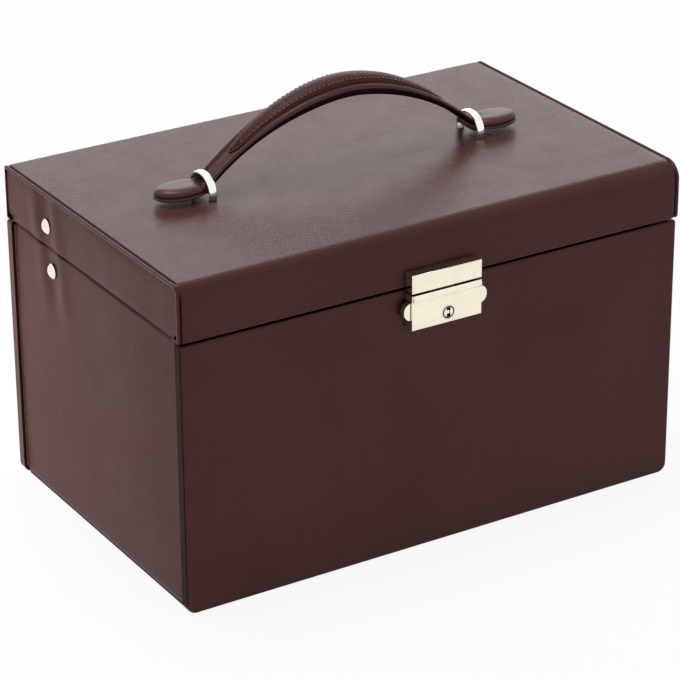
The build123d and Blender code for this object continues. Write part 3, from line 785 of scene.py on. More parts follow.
def shade(piece: Piece, angle: float) -> None:
    """Shade a piece smooth, with sharp edges where faces meet above an angle in degrees.

    Args:
        piece: the piece.
        angle: the angle, in degrees.
    """
    for face in piece.data.polygons:
        face.use_smooth = True
    piece.data.set_sharp_from_angle(angle=math.radians(angle))


def refine(piece: Piece, flat_ends: int = 0) -> None:
    """Round a piece by subdivision and keep the result.

    Args:
        piece: the piece to round.
        flat_ends: corner count of the end faces that stay flat and sharp, or 0.
    """
    if flat_ends:
        crease = piece.data.attributes.new("crease_edge", "FLOAT", "EDGE")
        ends = {key for face in piece.data.polygons if len(face.vertices) == flat_ends
                for key in face.edge_keys}
        for edge in piece.data.edges:
            crease.data[edge.index].value = 1.0 if edge.key in ends else 0.0
    modify(piece, "rounding", "SUBSURF", levels=1, render_levels=1)
    graph = bpy.context.evaluated_depsgraph_get()
    graph.update()
    made = bpy.data.meshes.new_from_object(piece.evaluated_get(graph))
    piece.modifiers.clear()
    piece.data = made
    shade(piece, 60.0)


def ring_faces(rings: int, around: int, first: int = 0, closed: bool = False) -> list[tuple]:
    """Faces between rings of points that follow each other.

    Args:
        rings: the number of rings.
        around: the number of points in each.
        first: number of the first ring's first point.
        closed: whether the last ring joins the first; otherwise both ends are filled.

    Returns:
        The faces, as point numbers.
    """
    starts = [first + i * around for i in range(rings)]
    pairs = list(zip(starts, starts[1:] + starts[:1]))
    faces = [(a + j, a + (j + 1) % around, b + (j + 1) % around, b + j)
             for a, b in (pairs if closed else pairs[:-1]) for j in range(around)]
    if not closed:
        faces.append(tuple(first + j for j in range(around)))
        faces.append(tuple(starts[-1] + j for j in reversed(range(around))))
    return faces


def sweep(name: str, rings: Sequence[Sequence[Vector]], closed: bool = False) -> Piece:
    """A form through rings of equal count.

    Args:
        name: the piece's name.
        rings: the rings, each a closed loop of points.
        closed: whether the last ring joins the first; otherwise both ends are filled.

    Returns:
        The new object.
    """
    points = [point for ring in rings for point in ring]
    return mesh_piece(name, points, ring_faces(len(rings), len(rings[0]), closed=closed))


def stitches(name: str, line: Sequence[Vector], up: Sequence[Vector], pitch: float = 0.0026,
             length: float = 0.0018, radius: float = 0.0003) -> Piece:
    """A row of separate short stitches along a line, each bedded in the leather.

    Args:
        name: the piece's name.
        line: points along the seam.
        up: the outward direction at each point.
        pitch: distance from one stitch to the next.
        length: length of one stitch.
        radius: the thread's radius.

    Returns:
        The new object.
    """
    run = [0.0]
    for a, b in zip(line, line[1:]):
        run.append(run[-1] + (b - a).length)

    def at(distance: float) -> tuple[Vector, Vector]:
        """The point and outward direction a distance along the seam.

        Args:
            distance: the distance, in metres.

        Returns:
            The point and the direction.
        """
        i = 1
        while i < len(run) - 1 and run[i] < distance:
            i += 1
        share = clamp((distance - run[i - 1]) / max(run[i] - run[i - 1], 1e-9))
        return line[i - 1].lerp(line[i], share), up[i - 1].lerp(up[i], share).normalized()

    points, faces = [], []
    steps, around = 5, 6
    total = int(run[-1] / pitch)
    margin = (run[-1] - total * pitch) / 2
    for number in range(total):
        begin = margin + number * pitch + (pitch - length) / 2
        faces += ring_faces(steps + 1, around, first=len(points))
        for step in range(steps + 1):
            share = step / steps
            here, out = at(begin + share * length)
            ahead, _ = at(begin + share * length + 0.0002)
            side = (ahead - here).normalized().cross(out).normalized()
            dip = math.sin(math.pi * share)
            thick = radius * (0.45 + 0.55 * dip)
            centre = here + out * (radius * (1.1 * dip - 0.6))
            for j in range(around):
                turn = 2 * math.pi * j / around
                points.append(centre + side * (thick * math.cos(turn))
                              + out * (thick * math.sin(turn)))
    return mesh_piece(name, points, faces)


# The carry handle

# Sections of the strap's edge: distance in from the edge in mm, and height as a share.
RIM = ((0.0, 0.0), (0.12, 0.5), (0.45, 0.86), (1.0, 1.0), (1.7, 0.95), (2.15, 0.7),
       (2.4, 0.42), (2.75, 0.4), (3.6, 0.5))
UNDERSIDE = ((0.15, -0.5), (0.6, -0.86), (1.5, -1.0), (3.6, -1.0))
# Layers of a tab from its bottom up: distance inside its full outline and height, in metres.
TAB_LAYERS = ((0.0018, 0.0), (0.0004, 0.00015), (0.0, 0.0006), (0.00005, 0.0011),
              (0.0005, 0.00145), (0.0008, 0.0017), (0.0005, 0.002), (0.0004, 0.0028),
              (0.0006, 0.0036), (0.0012, 0.0044), (0.0022, 0.005), (0.0036, 0.0054),
              (0.0056, 0.0056))


@dataclass
class CarryHandle:
    """The strap, core and stitches, with lengths in mm; the tabs and loops, in metres."""

    wardrobe: Wardrobe
    lid_top: float = 168.7
    loop_x: float = 76.3
    crown_rise: float = 42.5
    end_rise: float = 8.2
    arch_power: float = 1.9
    half_width: float = 9.8
    end_half: float = 6.2
    thickness: float = 5.6
    end_share: float = 0.58
    full_until: float = 15.0
    thins_over: float = 55.0
    end_x: float = 84.0
    end_fall: float = 0.25
    steps: int = 96
    core_reach: float = 62.0
    core_half: float = 6.7
    core_rise: float = 3.9
    core_seat: float = 0.3
    core_fullness: float = 0.85
    crown_power: float = 1.8
    round_power: float = 0.8
    piping_radius: float = 0.5
    piping_reach: float = 1.005
    piping_sink: float = 0.14
    squash_keep: float = 0.45
    tab_half: float = 0.0142
    tab_over: float = 0.0004
    neck_half: float = 0.0072
    neck_reach: float = 0.012
    neck_middle: float = 0.0021
    neck_share: float = 0.72
    loop_half: float = 0.00215
    loop_thick: float = 0.001
    loop_depth: float = 0.0035
    loop_radius: float = 0.0085

    def top(self, x: float) -> float:
        """Height of the strap's upper face at x.

        Args:
            x: place along the case, in mm.

        Returns:
            The height, in mm.
        """
        share = min(1.0, abs(x) / self.loop_x)
        fall = self.end_fall * max(0.0, abs(x) - self.loop_x)
        drop = (self.crown_rise - self.end_rise) * share ** self.arch_power
        return self.lid_top + self.crown_rise - drop - fall

    def out(self, x: float) -> Vector:
        """Unit vector out of the strap's upper face at x.

        Args:
            x: place along the case, in mm.

        Returns:
            The vector.
        """
        rise = (self.top(x + 0.05) - self.top(x - 0.05)) / 0.1
        along = Vector((1, 0, rise)).normalized()
        return Vector((-along.z, 0, along.x))

    def at(self, x: float, y: float = 0.0, lift: float = 0.0) -> Vector:
        """The point y beside the strap's middle line and lift out of its upper face."""
        return Vector((x, y, self.top(x))) + self.out(x) * lift

    def half(self, x: float) -> float:
        """Half the strap's width, narrower towards the loops."""
        share = math.cos(math.pi / 2 * min(1.0, abs(x) / self.loop_x)) ** 2
        return self.end_half + (self.half_width - self.end_half) * share

    def thick(self, x: float) -> float:
        """The strap's thickness, thinner towards the loops."""
        thinned = smooth((abs(x) - self.full_until) / self.thins_over)
        return self.thickness * (1 - (1 - self.end_share) * thinned)

    def core_edge(self, x: float) -> float:
        """Half width of the core at x."""
        share = max(0.0, 1 - (x / self.core_reach) ** 2)
        return self.core_half * share ** (self.core_fullness / 2)

    def section(self, x: float) -> list[Vector]:
        """Outline of the strap at x: a rolled rim at each edge and a sunk middle.

        Args:
            x: place along the case, in mm.

        Returns:
            The outline's points, in metres.
        """
        out, half, thick = self.out(x), self.half(x), self.thick(x) / 2
        middle = self.at(x, lift=-thick)
        outline = [(-half + y, z) for y, z in RIM] + [(0.0, 0.6)]
        outline += [(half - y, z) for y, z in reversed(RIM)]
        outline += [(half - y, z) for y, z in UNDERSIDE] + [(0.0, -1.0)]
        outline += [(-half + y, z) for y, z in reversed(UNDERSIDE)]
        return [(middle + Vector((0, y, 0)) + out * (z * thick)) * MM for y, z in outline]

    def strap(self) -> Piece:
        """The strap from tab to tab.

        Returns:
            The new object.
        """
        rings = [self.section(-self.end_x + 2 * self.end_x * i / self.steps)
                 for i in range(self.steps + 1)]
        piece = sweep("handle_strap_arch", rings)
        refine(piece, flat_ends=len(rings[0]))
        return piece

    def on_edge(self, face: Face) -> bool:
        """Whether a face of the strap is on its sides or underside.

        Args:
            face: the face.

        Returns:
            Whether the face is painted near black: partly edge paint, partly painted shade.
        """
        middle = face.center / MM
        out = self.out(middle.x)
        above = (middle - self.at(middle.x)).dot(out)
        return face.normal.dot(out) < 0.35 and above < -0.35 * self.thick(middle.x)

    def core(self) -> Piece:
        """The spindle-shaped padded core on top of the strap.

        Returns:
            The new object.
        """
        rings, count = [], 40
        for i in range(1, count):
            angle = math.pi * i / count
            x = -self.core_reach * math.cos(angle)
            size = math.sin(angle) ** self.core_fullness
            out, seat = self.out(x), self.core_seat * self.thick(x)
            base, half = self.at(x, lift=-seat), self.core_half * size
            rise = seat + self.core_rise * size ** self.crown_power
            ring = []
            for j in range(17):
                turn = math.pi * j / 16
                high = math.sin(turn) ** self.round_power
                ring.append((base + Vector((0, half * math.cos(turn), 0)) + out * (rise * high))
                            * MM)
            for j in range(1, 4):
                ring.append((base + Vector((0, -half + 2 * half * j / 4, 0)) - out * 0.3) * MM)
            rings.append(ring)
        piece = sweep("handle_core_padded", rings)
        refine(piece)
        return piece

    def piping(self) -> Piece:
        """The rolled edge sewn round the core, pointed at both ends.

        Returns:
            The new object.
        """
        def edge(turn: float) -> tuple[float, float]:
            """A place on the core's edge, seen from above."""
            x = -self.core_reach * self.piping_reach * math.cos(turn)
            return x, math.copysign(self.core_edge(x), math.sin(turn))

        rings, count, around = [], 200, 8
        for i in range(count):
            turn = 2 * math.pi * i / count
            x, y = edge(turn)
            out, ahead = self.out(x), self.at(*edge(turn + 0.01)) - self.at(x, y)
            side = ahead.cross(out).normalized()
            centre = self.at(x, y, -self.piping_sink * self.thick(x))
            ring = []
            for j in range(around):
                angle = 2 * math.pi * j / around
                offset = side * math.cos(angle) + out * math.sin(angle)
                ring.append((centre + offset * self.piping_radius) * MM)
            rings.append(ring)
        return sweep("core_piping", rings, closed=True)

    def seam(self, name: str, side: int, inside: float = 1.5) -> Piece:
        """A row of stitches on the core, inside its edge.

        Args:
            name: the row's name.
            side: -1 for the front row, 1 for the back row.
            inside: distance from the core's edge, in mm.

        Returns:
            The new object.
        """
        line, up, count = [], [], 120
        reach = self.core_reach - 4.0
        flat = 1 - inside / self.core_half
        share = math.sin(math.acos(flat)) ** self.round_power
        for i in range(count + 1):
            x = -reach + 2 * reach * i / count
            edge, seat = self.core_edge(x), self.core_seat * self.thick(x)
            rise = seat + self.core_rise * (edge / self.core_half) ** self.crown_power
            line.append(self.at(x, side * flat * edge, rise * share - seat) * MM)
            up.append(self.out(x))
        return stitches(name, line, up)

    def tab_outline(self, inset: float, x_in: float, middle: float, reach: Point) -> list[Vector]:
        """Outline of a tab seen from above: an oval that runs into the neck.

        Args:
            inset: distance inside the full outline.
            x_in: the neck's inner end, from the case's middle.
            middle: the oval's middle.
            reach: half length and half width of the oval, and half width of the neck.

        Returns:
            The outline's points.
        """
        along, across, neck = (value - inset for value in reach)
        joint = math.asin(min(0.98, neck / across))
        points, count = [], 40
        for i in range(count + 1):
            turn = -math.pi + joint + (2 * math.pi - 2 * joint) * i / count
            points.append(Vector((middle + along * math.cos(turn), across * math.sin(turn), 0)))
        start, end = middle - along * math.cos(joint), x_in + inset
        between = [start + (end - start) * (i / 5) for i in range(1, 5)]
        points += [Vector((x, neck, 0)) for x in between]
        points += [Vector((end, neck * (1 - i / 2) * 0.96, 0)) for i in range(5)]
        points += [Vector((x, -neck, 0)) for x in reversed(between)]
        return points

    def tab(self, node: str, side: int) -> Piece:
        """The puffy oval tab past one loop, with its neck under the loop.

        Args:
            node: the tab's CAD node.
            side: -1 for the left side, 1 for the right side.

        Returns:
            The new object.
        """
        low, high = place_of(node)
        x_in, x_out = (low.x, high.x) if side > 0 else (-high.x, -low.x)
        reach = (self.tab_half, high.y + self.tab_over, self.neck_half)
        rings = []
        for inset, height in TAB_LAYERS:
            ring = []
            for point in self.tab_outline(inset, x_in, x_out - self.tab_half, reach):
                toward = clamp((point.x - x_in) / self.neck_reach)
                z = low.z + height
                if toward < 1:
                    mid = low.z + self.neck_middle
                    share = self.neck_share + (1 - self.neck_share) * smooth(toward)
                    z = mid + (z - mid) * share
                ring.append(Vector((side * point.x, point.y, z)))
            rings.append(ring)
        piece = sweep(node + "_padded", rings)
        refine(piece)
        return piece

    def loop(self, name: str, side: int) -> Piece:
        """One polished loop: a rounded band bent over the tab, with its legs in the lid.

        Args:
            name: the piece's name.
            side: -1 for the left side, 1 for the right side.

        Returns:
            The new object.
        """
        low, high = place_of("handle_loops")
        centre = 0.5 * (high.x + high.x - self.loop_depth) * side
        leg, wide, top = high.y - 0.0009, high.y - 0.0001, high.z - 0.0002
        radius, around, lid = self.loop_radius, 20, self.lid_top * MM
        path = [(-leg, low.z), (-leg, lid - 0.001), (-wide, lid + 0.003)]
        for i in range(13):
            turn = math.pi / 2 * i / 12
            path.append((-wide + radius * (1 - math.cos(turn)),
                         top - radius + radius * math.sin(turn)))
        path += [(-y, z) for y, z in reversed(path)]
        rings = []
        for i, (y, z) in enumerate(path):
            before, after = path[max(0, i - 1)], path[min(len(path) - 1, i + 1)]
            along = Vector((0, after[0] - before[0], after[1] - before[1])).normalized()
            out = Vector((0, -along.z, along.y))
            ring = []
            for j in range(around):
                turn = 2 * math.pi * j / around
                across = swell(math.cos(turn), 0.75) * self.loop_half
                ring.append(Vector((centre + across, y, z))
                            + out * (math.sin(turn) * self.loop_thick))
            rings.append(ring)
        piece = sweep(name, rings)
        refine(piece, flat_ends=around)
        return piece

    def build(self) -> None:
        """Make the whole handle and set it on its bodies."""
        set_up, ends = self.wardrobe.set_up, (("left", -1), ("right", 1))
        for end, side in ends:
            loop = self.loop("handle_loop_" + end, side)
            set_up(loop, Slot.NICKEL, "lid", "bright_nickel")
            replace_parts(loop, "handle_loops")
        arch, core = self.strap(), self.core()
        front, back = self.seam("core_stitches_front", -1), self.seam("core_stitches_back", 1)
        anchor = (0.0, 0.0, min(point.z for point in self.section(self.end_x)))
        for piece, extra in ((arch, None), (core, "core_leather"), (self.piping(), None),
                             (front, "plum_thread"), (back, "plum_thread")):
            set_up(piece, Slot.HANDLE_LEATHER, "lid", extra)
            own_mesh(piece)
        # the strap's sides and underside are painted near black: partly edge paint, partly painted
        # shade
        self.wardrobe.paint_shade(arch, "edge_paint_and_painted_shade", self.on_edge)
        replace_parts(arch, "handle_strap")
        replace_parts(core, "handle_core")
        for end, side in ends:
            node = "handle_tab_" + end
            tab = self.tab(node, side)
            set_up(tab, Slot.HANDLE_LEATHER, "handle_" + end)
            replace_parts(tab, node)


# Leather over the boards


def corner_reach(across: float, up: float, radius: float, size: float) -> float:
    """Distance from the inner corner of a square zone to its rounded outer corner.

    Args:
        across: first part of the direction's unit vector.
        up: its second part.
        radius: the corner's radius.
        size: side of the square zone.

    Returns:
        The distance in that direction.
    """
    flat = size - radius
    if up <= across * flat / size:
        return size / across
    if across <= up * flat / size:
        return size / up
    b = (across + up) * flat
    return b + math.sqrt(max(0.0, b * b - 2 * flat * flat + radius * radius))


def recorner(across: float, up: float, size: float, old: float, new: float) -> tuple[float, float]:
    """Move a place in the square zone of a corner whose radius changes.

    Args:
        across: the place, from the zone's inner corner.
        up: the same in the zone's other direction.
        size: side of the square zone.
        old: the radius that the corner has.
        new: the radius that it gets.

    Returns:
        The new place, which is the old one outside the zone.
    """
    if across <= 0 or up <= 0:
        return across, up
    length = math.hypot(across, up)
    unit = (across / length, up / length)
    grow = corner_reach(*unit, new, size) / corner_reach(*unit, old, size)
    return across * grow, up * grow


@dataclass
class SoftSkins:
    """The leather covers, which give a little: dimples at the rivets and slow waves."""

    wardrobe: Wardrobe
    half_width: float = 0.14
    half_depth: float = 0.089
    front_half: float = 0.139
    coarse: float = 0.006
    fine: float = 0.0012
    near_rivet: float = 0.024
    corner_size: float = 0.0095
    corner_radius: float = 0.0075
    left_radius: float = 0.0045
    right_radius: float = 0.009
    back_corner: float = 0.0045
    trough_depth: float = 0.00085
    trough_half: float = 0.0058
    trough_length: float = 0.019
    dome_radius: float = 0.0042
    deepest: float = 0.00085
    side_wave: float = 0.0004
    front_wave: float = 0.00012
    top_wave: float = 0.00022
    piping: float = 0.002
    groove_half: float = 0.0005
    groove_depth: float = 0.0011

    def cuts(self, low: float, high: float, middle: float | None, piped: bool,
             rounded: bool) -> list[float]:
        """Places of the grid's lines along one axis.

        Args:
            low: the cover's lowest place.
            high: its highest place.
            middle: place of a rivet, near which the lines are closer, or None.
            piped: whether both ends have a piped edge.
            rounded: whether the high end has rounded corners.

        Returns:
            The places.
        """
        places, here = [], low + self.coarse / 2
        if rounded:
            places += [high - self.back_corner * i / 8 for i in range(1, 9)]
        if piped:
            for step in (-0.0008, -0.0004, 0.0, 0.0004, 0.0008):
                places += [low + self.piping + step, high - self.piping + step]
        while here < high - self.coarse / 4:
            places.append(here)
            near = middle is not None and abs(here - middle) < self.near_rivet
            here += self.fine if near else self.coarse
            if middle is not None and not near and abs(here - middle) < self.near_rivet:
                here = middle - self.near_rivet + 1e-5
        return places

    def copy(self, node: str, name: str, rivet: Vector | None) -> Piece:
        """A copy of a cover's mesh, divided by a grid so that it can give.

        Args:
            node: the CAD node.
            name: the new piece's name.
            rivet: middle of the rivet through the cover, or None.

        Returns:
            The new object.
        """
        low, high = place_of(node)
        wrap = node == "lid_wrap_cover"
        bm = bmesh.new()
        bm.from_mesh(frame["nodes"][node].data)
        bmesh.ops.remove_doubles(bm, verts=bm.verts, dist=2e-6)
        bmesh.ops.dissolve_limit(bm, angle_limit=0.005, verts=bm.verts, edges=bm.edges)
        for axis in range(3):
            if high[axis] - low[axis] < 0.01:
                continue
            normal = Vector([1.0 if k == axis else 0.0 for k in range(3)])
            middle = rivet[axis] if rivet is not None else None
            for place in self.cuts(low[axis], high[axis], middle, wrap and axis == 0,
                                   wrap and axis == 1):
                bmesh.ops.bisect_plane(bm, geom=bm.verts[:] + bm.edges[:] + bm.faces[:],
                                       plane_co=normal * place, plane_no=normal, dist=1e-6)
        bmesh.ops.triangulate(bm, faces=[face for face in bm.faces if len(face.verts) > 4])
        return bmesh_piece(name, bm)

    def tighten(self, point: Vector) -> Vector:
        """Move a point of the lid's front top edge: crisp at the left end, softer at the right.

        Args:
            point: a point of the cover, in metres.

        Returns:
            Where the point goes.
        """
        low, high = place_of("lid_wrap_cover")
        size = self.corner_size
        share = (point.x - low.x) / (high.x - low.x)
        radius = self.left_radius + (self.right_radius - self.left_radius) * smooth(share)
        across, up = recorner(low.y + size - point.y, point.z - (high.z - size), size,
                              self.corner_radius, radius)
        return Vector((point.x, low.y + size - across, high.z - size + up))

    def ease_back(self, point: Vector) -> Vector:
        """Round the lid's upright back corners, seen from above.

        Args:
            point: a point of the cover, in metres.

        Returns:
            Where the point goes.
        """
        _, high = place_of("lid_wrap_cover")
        size = self.back_corner
        across, up = recorner(abs(point.x) - (high.x - size), point.y - (high.y - size), size,
                              0.0, size * 0.98)
        return Vector((math.copysign(high.x - size + across, point.x), high.y - size + up,
                       point.z))

    def trough(self, point: Vector, rivet: Vector) -> float:
        """How far the leather is pulled in near a rivet: an upright trough between two folds.

        Args:
            point: a point of the cover, in metres.
            rivet: middle of the rivet through the cover.

        Returns:
            The distance, in metres.
        """
        along = (point.z - rivet.z) / self.trough_length
        across = (point.y - rivet.y) / self.trough_half - 0.3 * along
        fade = math.exp(-along * along)
        pull = math.exp(-across * across) - 0.75 * math.exp(-((abs(across) - 1.8) ** 2))
        ring = math.hypot(point.y - rivet.y, point.z - rivet.z) / self.dome_radius
        under_dome = math.exp(-(ring ** 4))
        return self.trough_depth * pull * fade * (1 - 0.45 * under_dome)

    def side_move(self, node: str, rivet: Vector, sign: int) -> Move:
        """The give of a side cover: plump in the middle, with slow upright waves.

        Args:
            node: the CAD node.
            rivet: middle of the rivet through the cover.
            sign: -1 for the left side, 1 for the right side.

        Returns:
            Where each point of the cover goes.
        """
        low, high = place_of(node)
        outer = high.x if sign > 0 else -low.x

        def move(point: Vector) -> Vector:
            """Where a point of the side cover goes.

            Args:
                point: a point of the cover, in metres.

            Returns:
                The new place.
            """
            shown = smooth((sign * point.x - (outer - 0.0011)) / 0.0009)
            wave = noise.noise(Vector((sign * 3.0, point.y * 24.0, point.z * 5.0)))
            rise = 2 * (point.z - low.z) / (high.z - low.z) - 1
            run = 2 * (point.y - low.y) / (high.y - low.y) - 1
            inner = (1 - rise ** 8) * (1 - run ** 8)
            plump = self.side_wave * (rise ** 4 + run ** 6)
            depth = self.trough(point, rivet) + self.side_wave * wave * inner + plump
            moved = Vector((point.x - sign * min(depth, self.deepest) * shown, point.y, point.z))
            return self.tighten(moved)
        return move

    def wrap_move(self, point: Vector) -> Vector:
        """The give of the lid's wrap: slightly uneven, with a piped edge at each end.

        Args:
            point: a point of the cover, in metres.

        Returns:
            Where the point goes.
        """
        low, high = place_of("lid_wrap_cover")
        top = smooth((point.z - (high.z - 0.0012)) / 0.0010)
        front = smooth(((low.y + 0.0012) - point.y) / 0.0010)
        back = smooth((point.y - (high.y - 0.0012)) / 0.0010)
        edge = (min(1.0, (self.half_depth - abs(point.y)) / 0.02)
                * min(1.0, (self.half_width - abs(point.x)) / 0.01))
        wave = noise.noise(Vector((point.x * 16.0, point.y * 16.0, 4.0)))
        groove = (high.x - abs(point.x) - self.piping) / self.groove_half
        sunk = self.groove_depth * math.exp(-groove * groove)
        drop = (self.top_wave * (wave + 0.5) * max(0.0, edge) + sunk) * top
        moved = Vector((point.x, point.y + sunk * (front - back), point.z - drop))
        return self.ease_back(self.tighten(moved))

    def front_move(self, sign: int) -> Move:
        """The give of the front or back cover: nearly flat.

        Args:
            sign: -1 for the front, 1 for the back.

        Returns:
            Where each point of the cover goes.
        """
        def move(point: Vector) -> Vector:
            """Where a point of the cover goes.

            Args:
                point: a point of the cover, in metres.

            Returns:
                The new place.
            """
            shown = smooth((sign * point.y - (self.half_depth - 0.0011)) / 0.0009)
            wave = noise.noise(Vector((point.x * 12.0, 7.0, point.z * 9.0)))
            edge = min(1.0, abs(self.front_half - abs(point.x)) / 0.02)
            return Vector((point.x, point.y - sign * self.front_wave * (wave + 0.5) * shown * edge,
                           point.z))
        return move

    def fit(self, node: str, body: str, rivet: Vector | None, move: Move) -> None:
        """Make one soft cover in place of its CAD node.

        Args:
            node: the CAD node, whose name ends in cover.
            body: the body that the cover rides on.
            rivet: middle of the rivet through the cover, or None.
            move: where each of the cover's points goes.
        """
        piece = self.copy(node, node.replace("_cover", "_leather"), rivet)
        for vert in piece.data.vertices:
            vert.co = move(vert.co.copy())
        shade(piece, 35.0)
        modify(piece, "even_normals", "WEIGHTED_NORMAL", keep_sharp=True)
        # the side covers get the darker copy of the case leather: painted shade
        extra = None if rivet is None else "shaded_leather_for_sides"
        self.wardrobe.set_up(piece, Slot.CASE_LEATHER, body, extra)
        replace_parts(piece, node)
        if node == "body_front_cover":
            # the front cover's side strips are painted near black: partly edge paint, partly
            # painted shade
            self.wardrobe.paint_shade(piece, "edge_paint_and_painted_shade", lambda face: abs(face.normal.x) > 0.8)

    def build(self) -> None:
        """Make all the soft covers."""
        for part, body in (("body", "case_body"), ("lid", "lid")):
            low, high = place_of(part + "_arm_rivets")
            for side, sign in (("left", -1), ("right", 1)):
                node = part + "_" + side + "_cover"
                node_low, node_high = place_of(node)
                outer = node_high.x if sign > 0 else -node_low.x
                rivet = Vector((sign * outer, (low.y + high.y) / 2, (low.z + high.z) / 2))
                self.fit(node, body, rivet, self.side_move(node, rivet, sign))
        self.fit("lid_wrap_cover", "lid", None, self.wrap_move)
        self.fit("body_front_cover", "case_body", None, self.front_move(-1))
        self.fit("body_back_cover", "case_body", None, self.front_move(1))


# Lock


@dataclass
class LockFace:
    """The turning face of the lock: a rim, a ring painted dark as shade, and a slot either side of
    the post.
    """

    wardrobe: Wardrobe
    bore: float = 0.00098
    slot_half: float = 0.00105
    slot_reach: float = 0.00245
    slot_depth: float = 0.0012
    ring_in: float = 0.0025
    ring_out: float = 0.00322
    ring_depth: float = 0.0005
    plate_bevel: float = 0.00028

    def turns(self, radius: float) -> list[tuple[float, bool]]:
        """Angles of the columns at a radius, and whether each lies in the slot.

        Args:
            radius: the radius, in metres.

        Returns:
            Each column's angle, and whether it lies in the slot.
        """
        half = math.asin(min(0.9, self.slot_half / radius))
        columns = []
        for middle in (math.pi / 2, 1.5 * math.pi):
            columns += [(middle + half * (i / 3 - 1), True) for i in range(7)]
            first, last = middle + half + 0.03, middle + math.pi - half - 0.03
            columns += [(first + (last - first) * i / 24, False) for i in range(25)]
        return columns

    def face(self) -> Piece:
        """The face with its shaft, and painted shade in its ring and slots.

        Returns:
            The new object.
        """
        low, high = place_of("lock_key_barrel")
        centre = Vector(((low.x + high.x) / 2, 0, (low.z + high.z) / 2))
        outer = (high.x - low.x) / 2
        # Each ring's radius and how deep it is sunk, in ring depths; None is the shaft's end.
        radii = ((self.bore, None), (self.bore, 0.0), (0.0017, 0.0),
                 (self.slot_reach - 0.00005, 0.0), (self.slot_reach, 0.0), (self.ring_in, 0.0),
                 (self.ring_in, 1.0), (self.ring_out, 1.0), (self.ring_out, 0.0),
                 (outer - 0.00012, 0.0), (outer, 0.12), (outer, None))
        rings = []
        for number, (radius, sunk) in enumerate(radii):
            ring = []
            for turn, in_slot in self.turns(radius):
                y = high.y if sunk is None else low.y + sunk * self.ring_depth
                if in_slot and sunk is not None and number < 4:
                    y = low.y + self.slot_depth
                ring.append(Vector((centre.x + radius * math.cos(turn), y,
                                    centre.z + radius * math.sin(turn))))
            rings.append(ring)
        piece = sweep("lock_key_face", rings, closed=True)
        shade(piece, 35.0)
        self.wardrobe.set_up(piece, Slot.NICKEL, "lock_key")

        def sunk_in(face: Face) -> bool:
            """Whether a face lies in the ring or in a slot."""
            deepest = max(piece.data.vertices[i].co.y for i in face.vertices)
            return low.y + 0.3 * self.ring_depth < deepest < high.y - 0.0001

        # the ring and slots get painted shade
        self.wardrobe.paint_shade(piece, "painted_shade_recess", sunk_in)
        return piece

    def build(self) -> None:
        """Set the face in place of the CAD barrel and ease the plates' edges."""
        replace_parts(self.face(), "lock_key_barrel")
        for node in ("lock_case", "lid_strike_plate", "lock_slide_bar"):
            plate = frame["nodes"][node]
            modify(plate, "weld", "WELD", merge_threshold=0.00001)
            modify(plate, "eased_edges", "BEVEL", width=self.plate_bevel, segments=2,
                   limit_method="ANGLE", angle_limit=math.radians(50))


# Soft inside


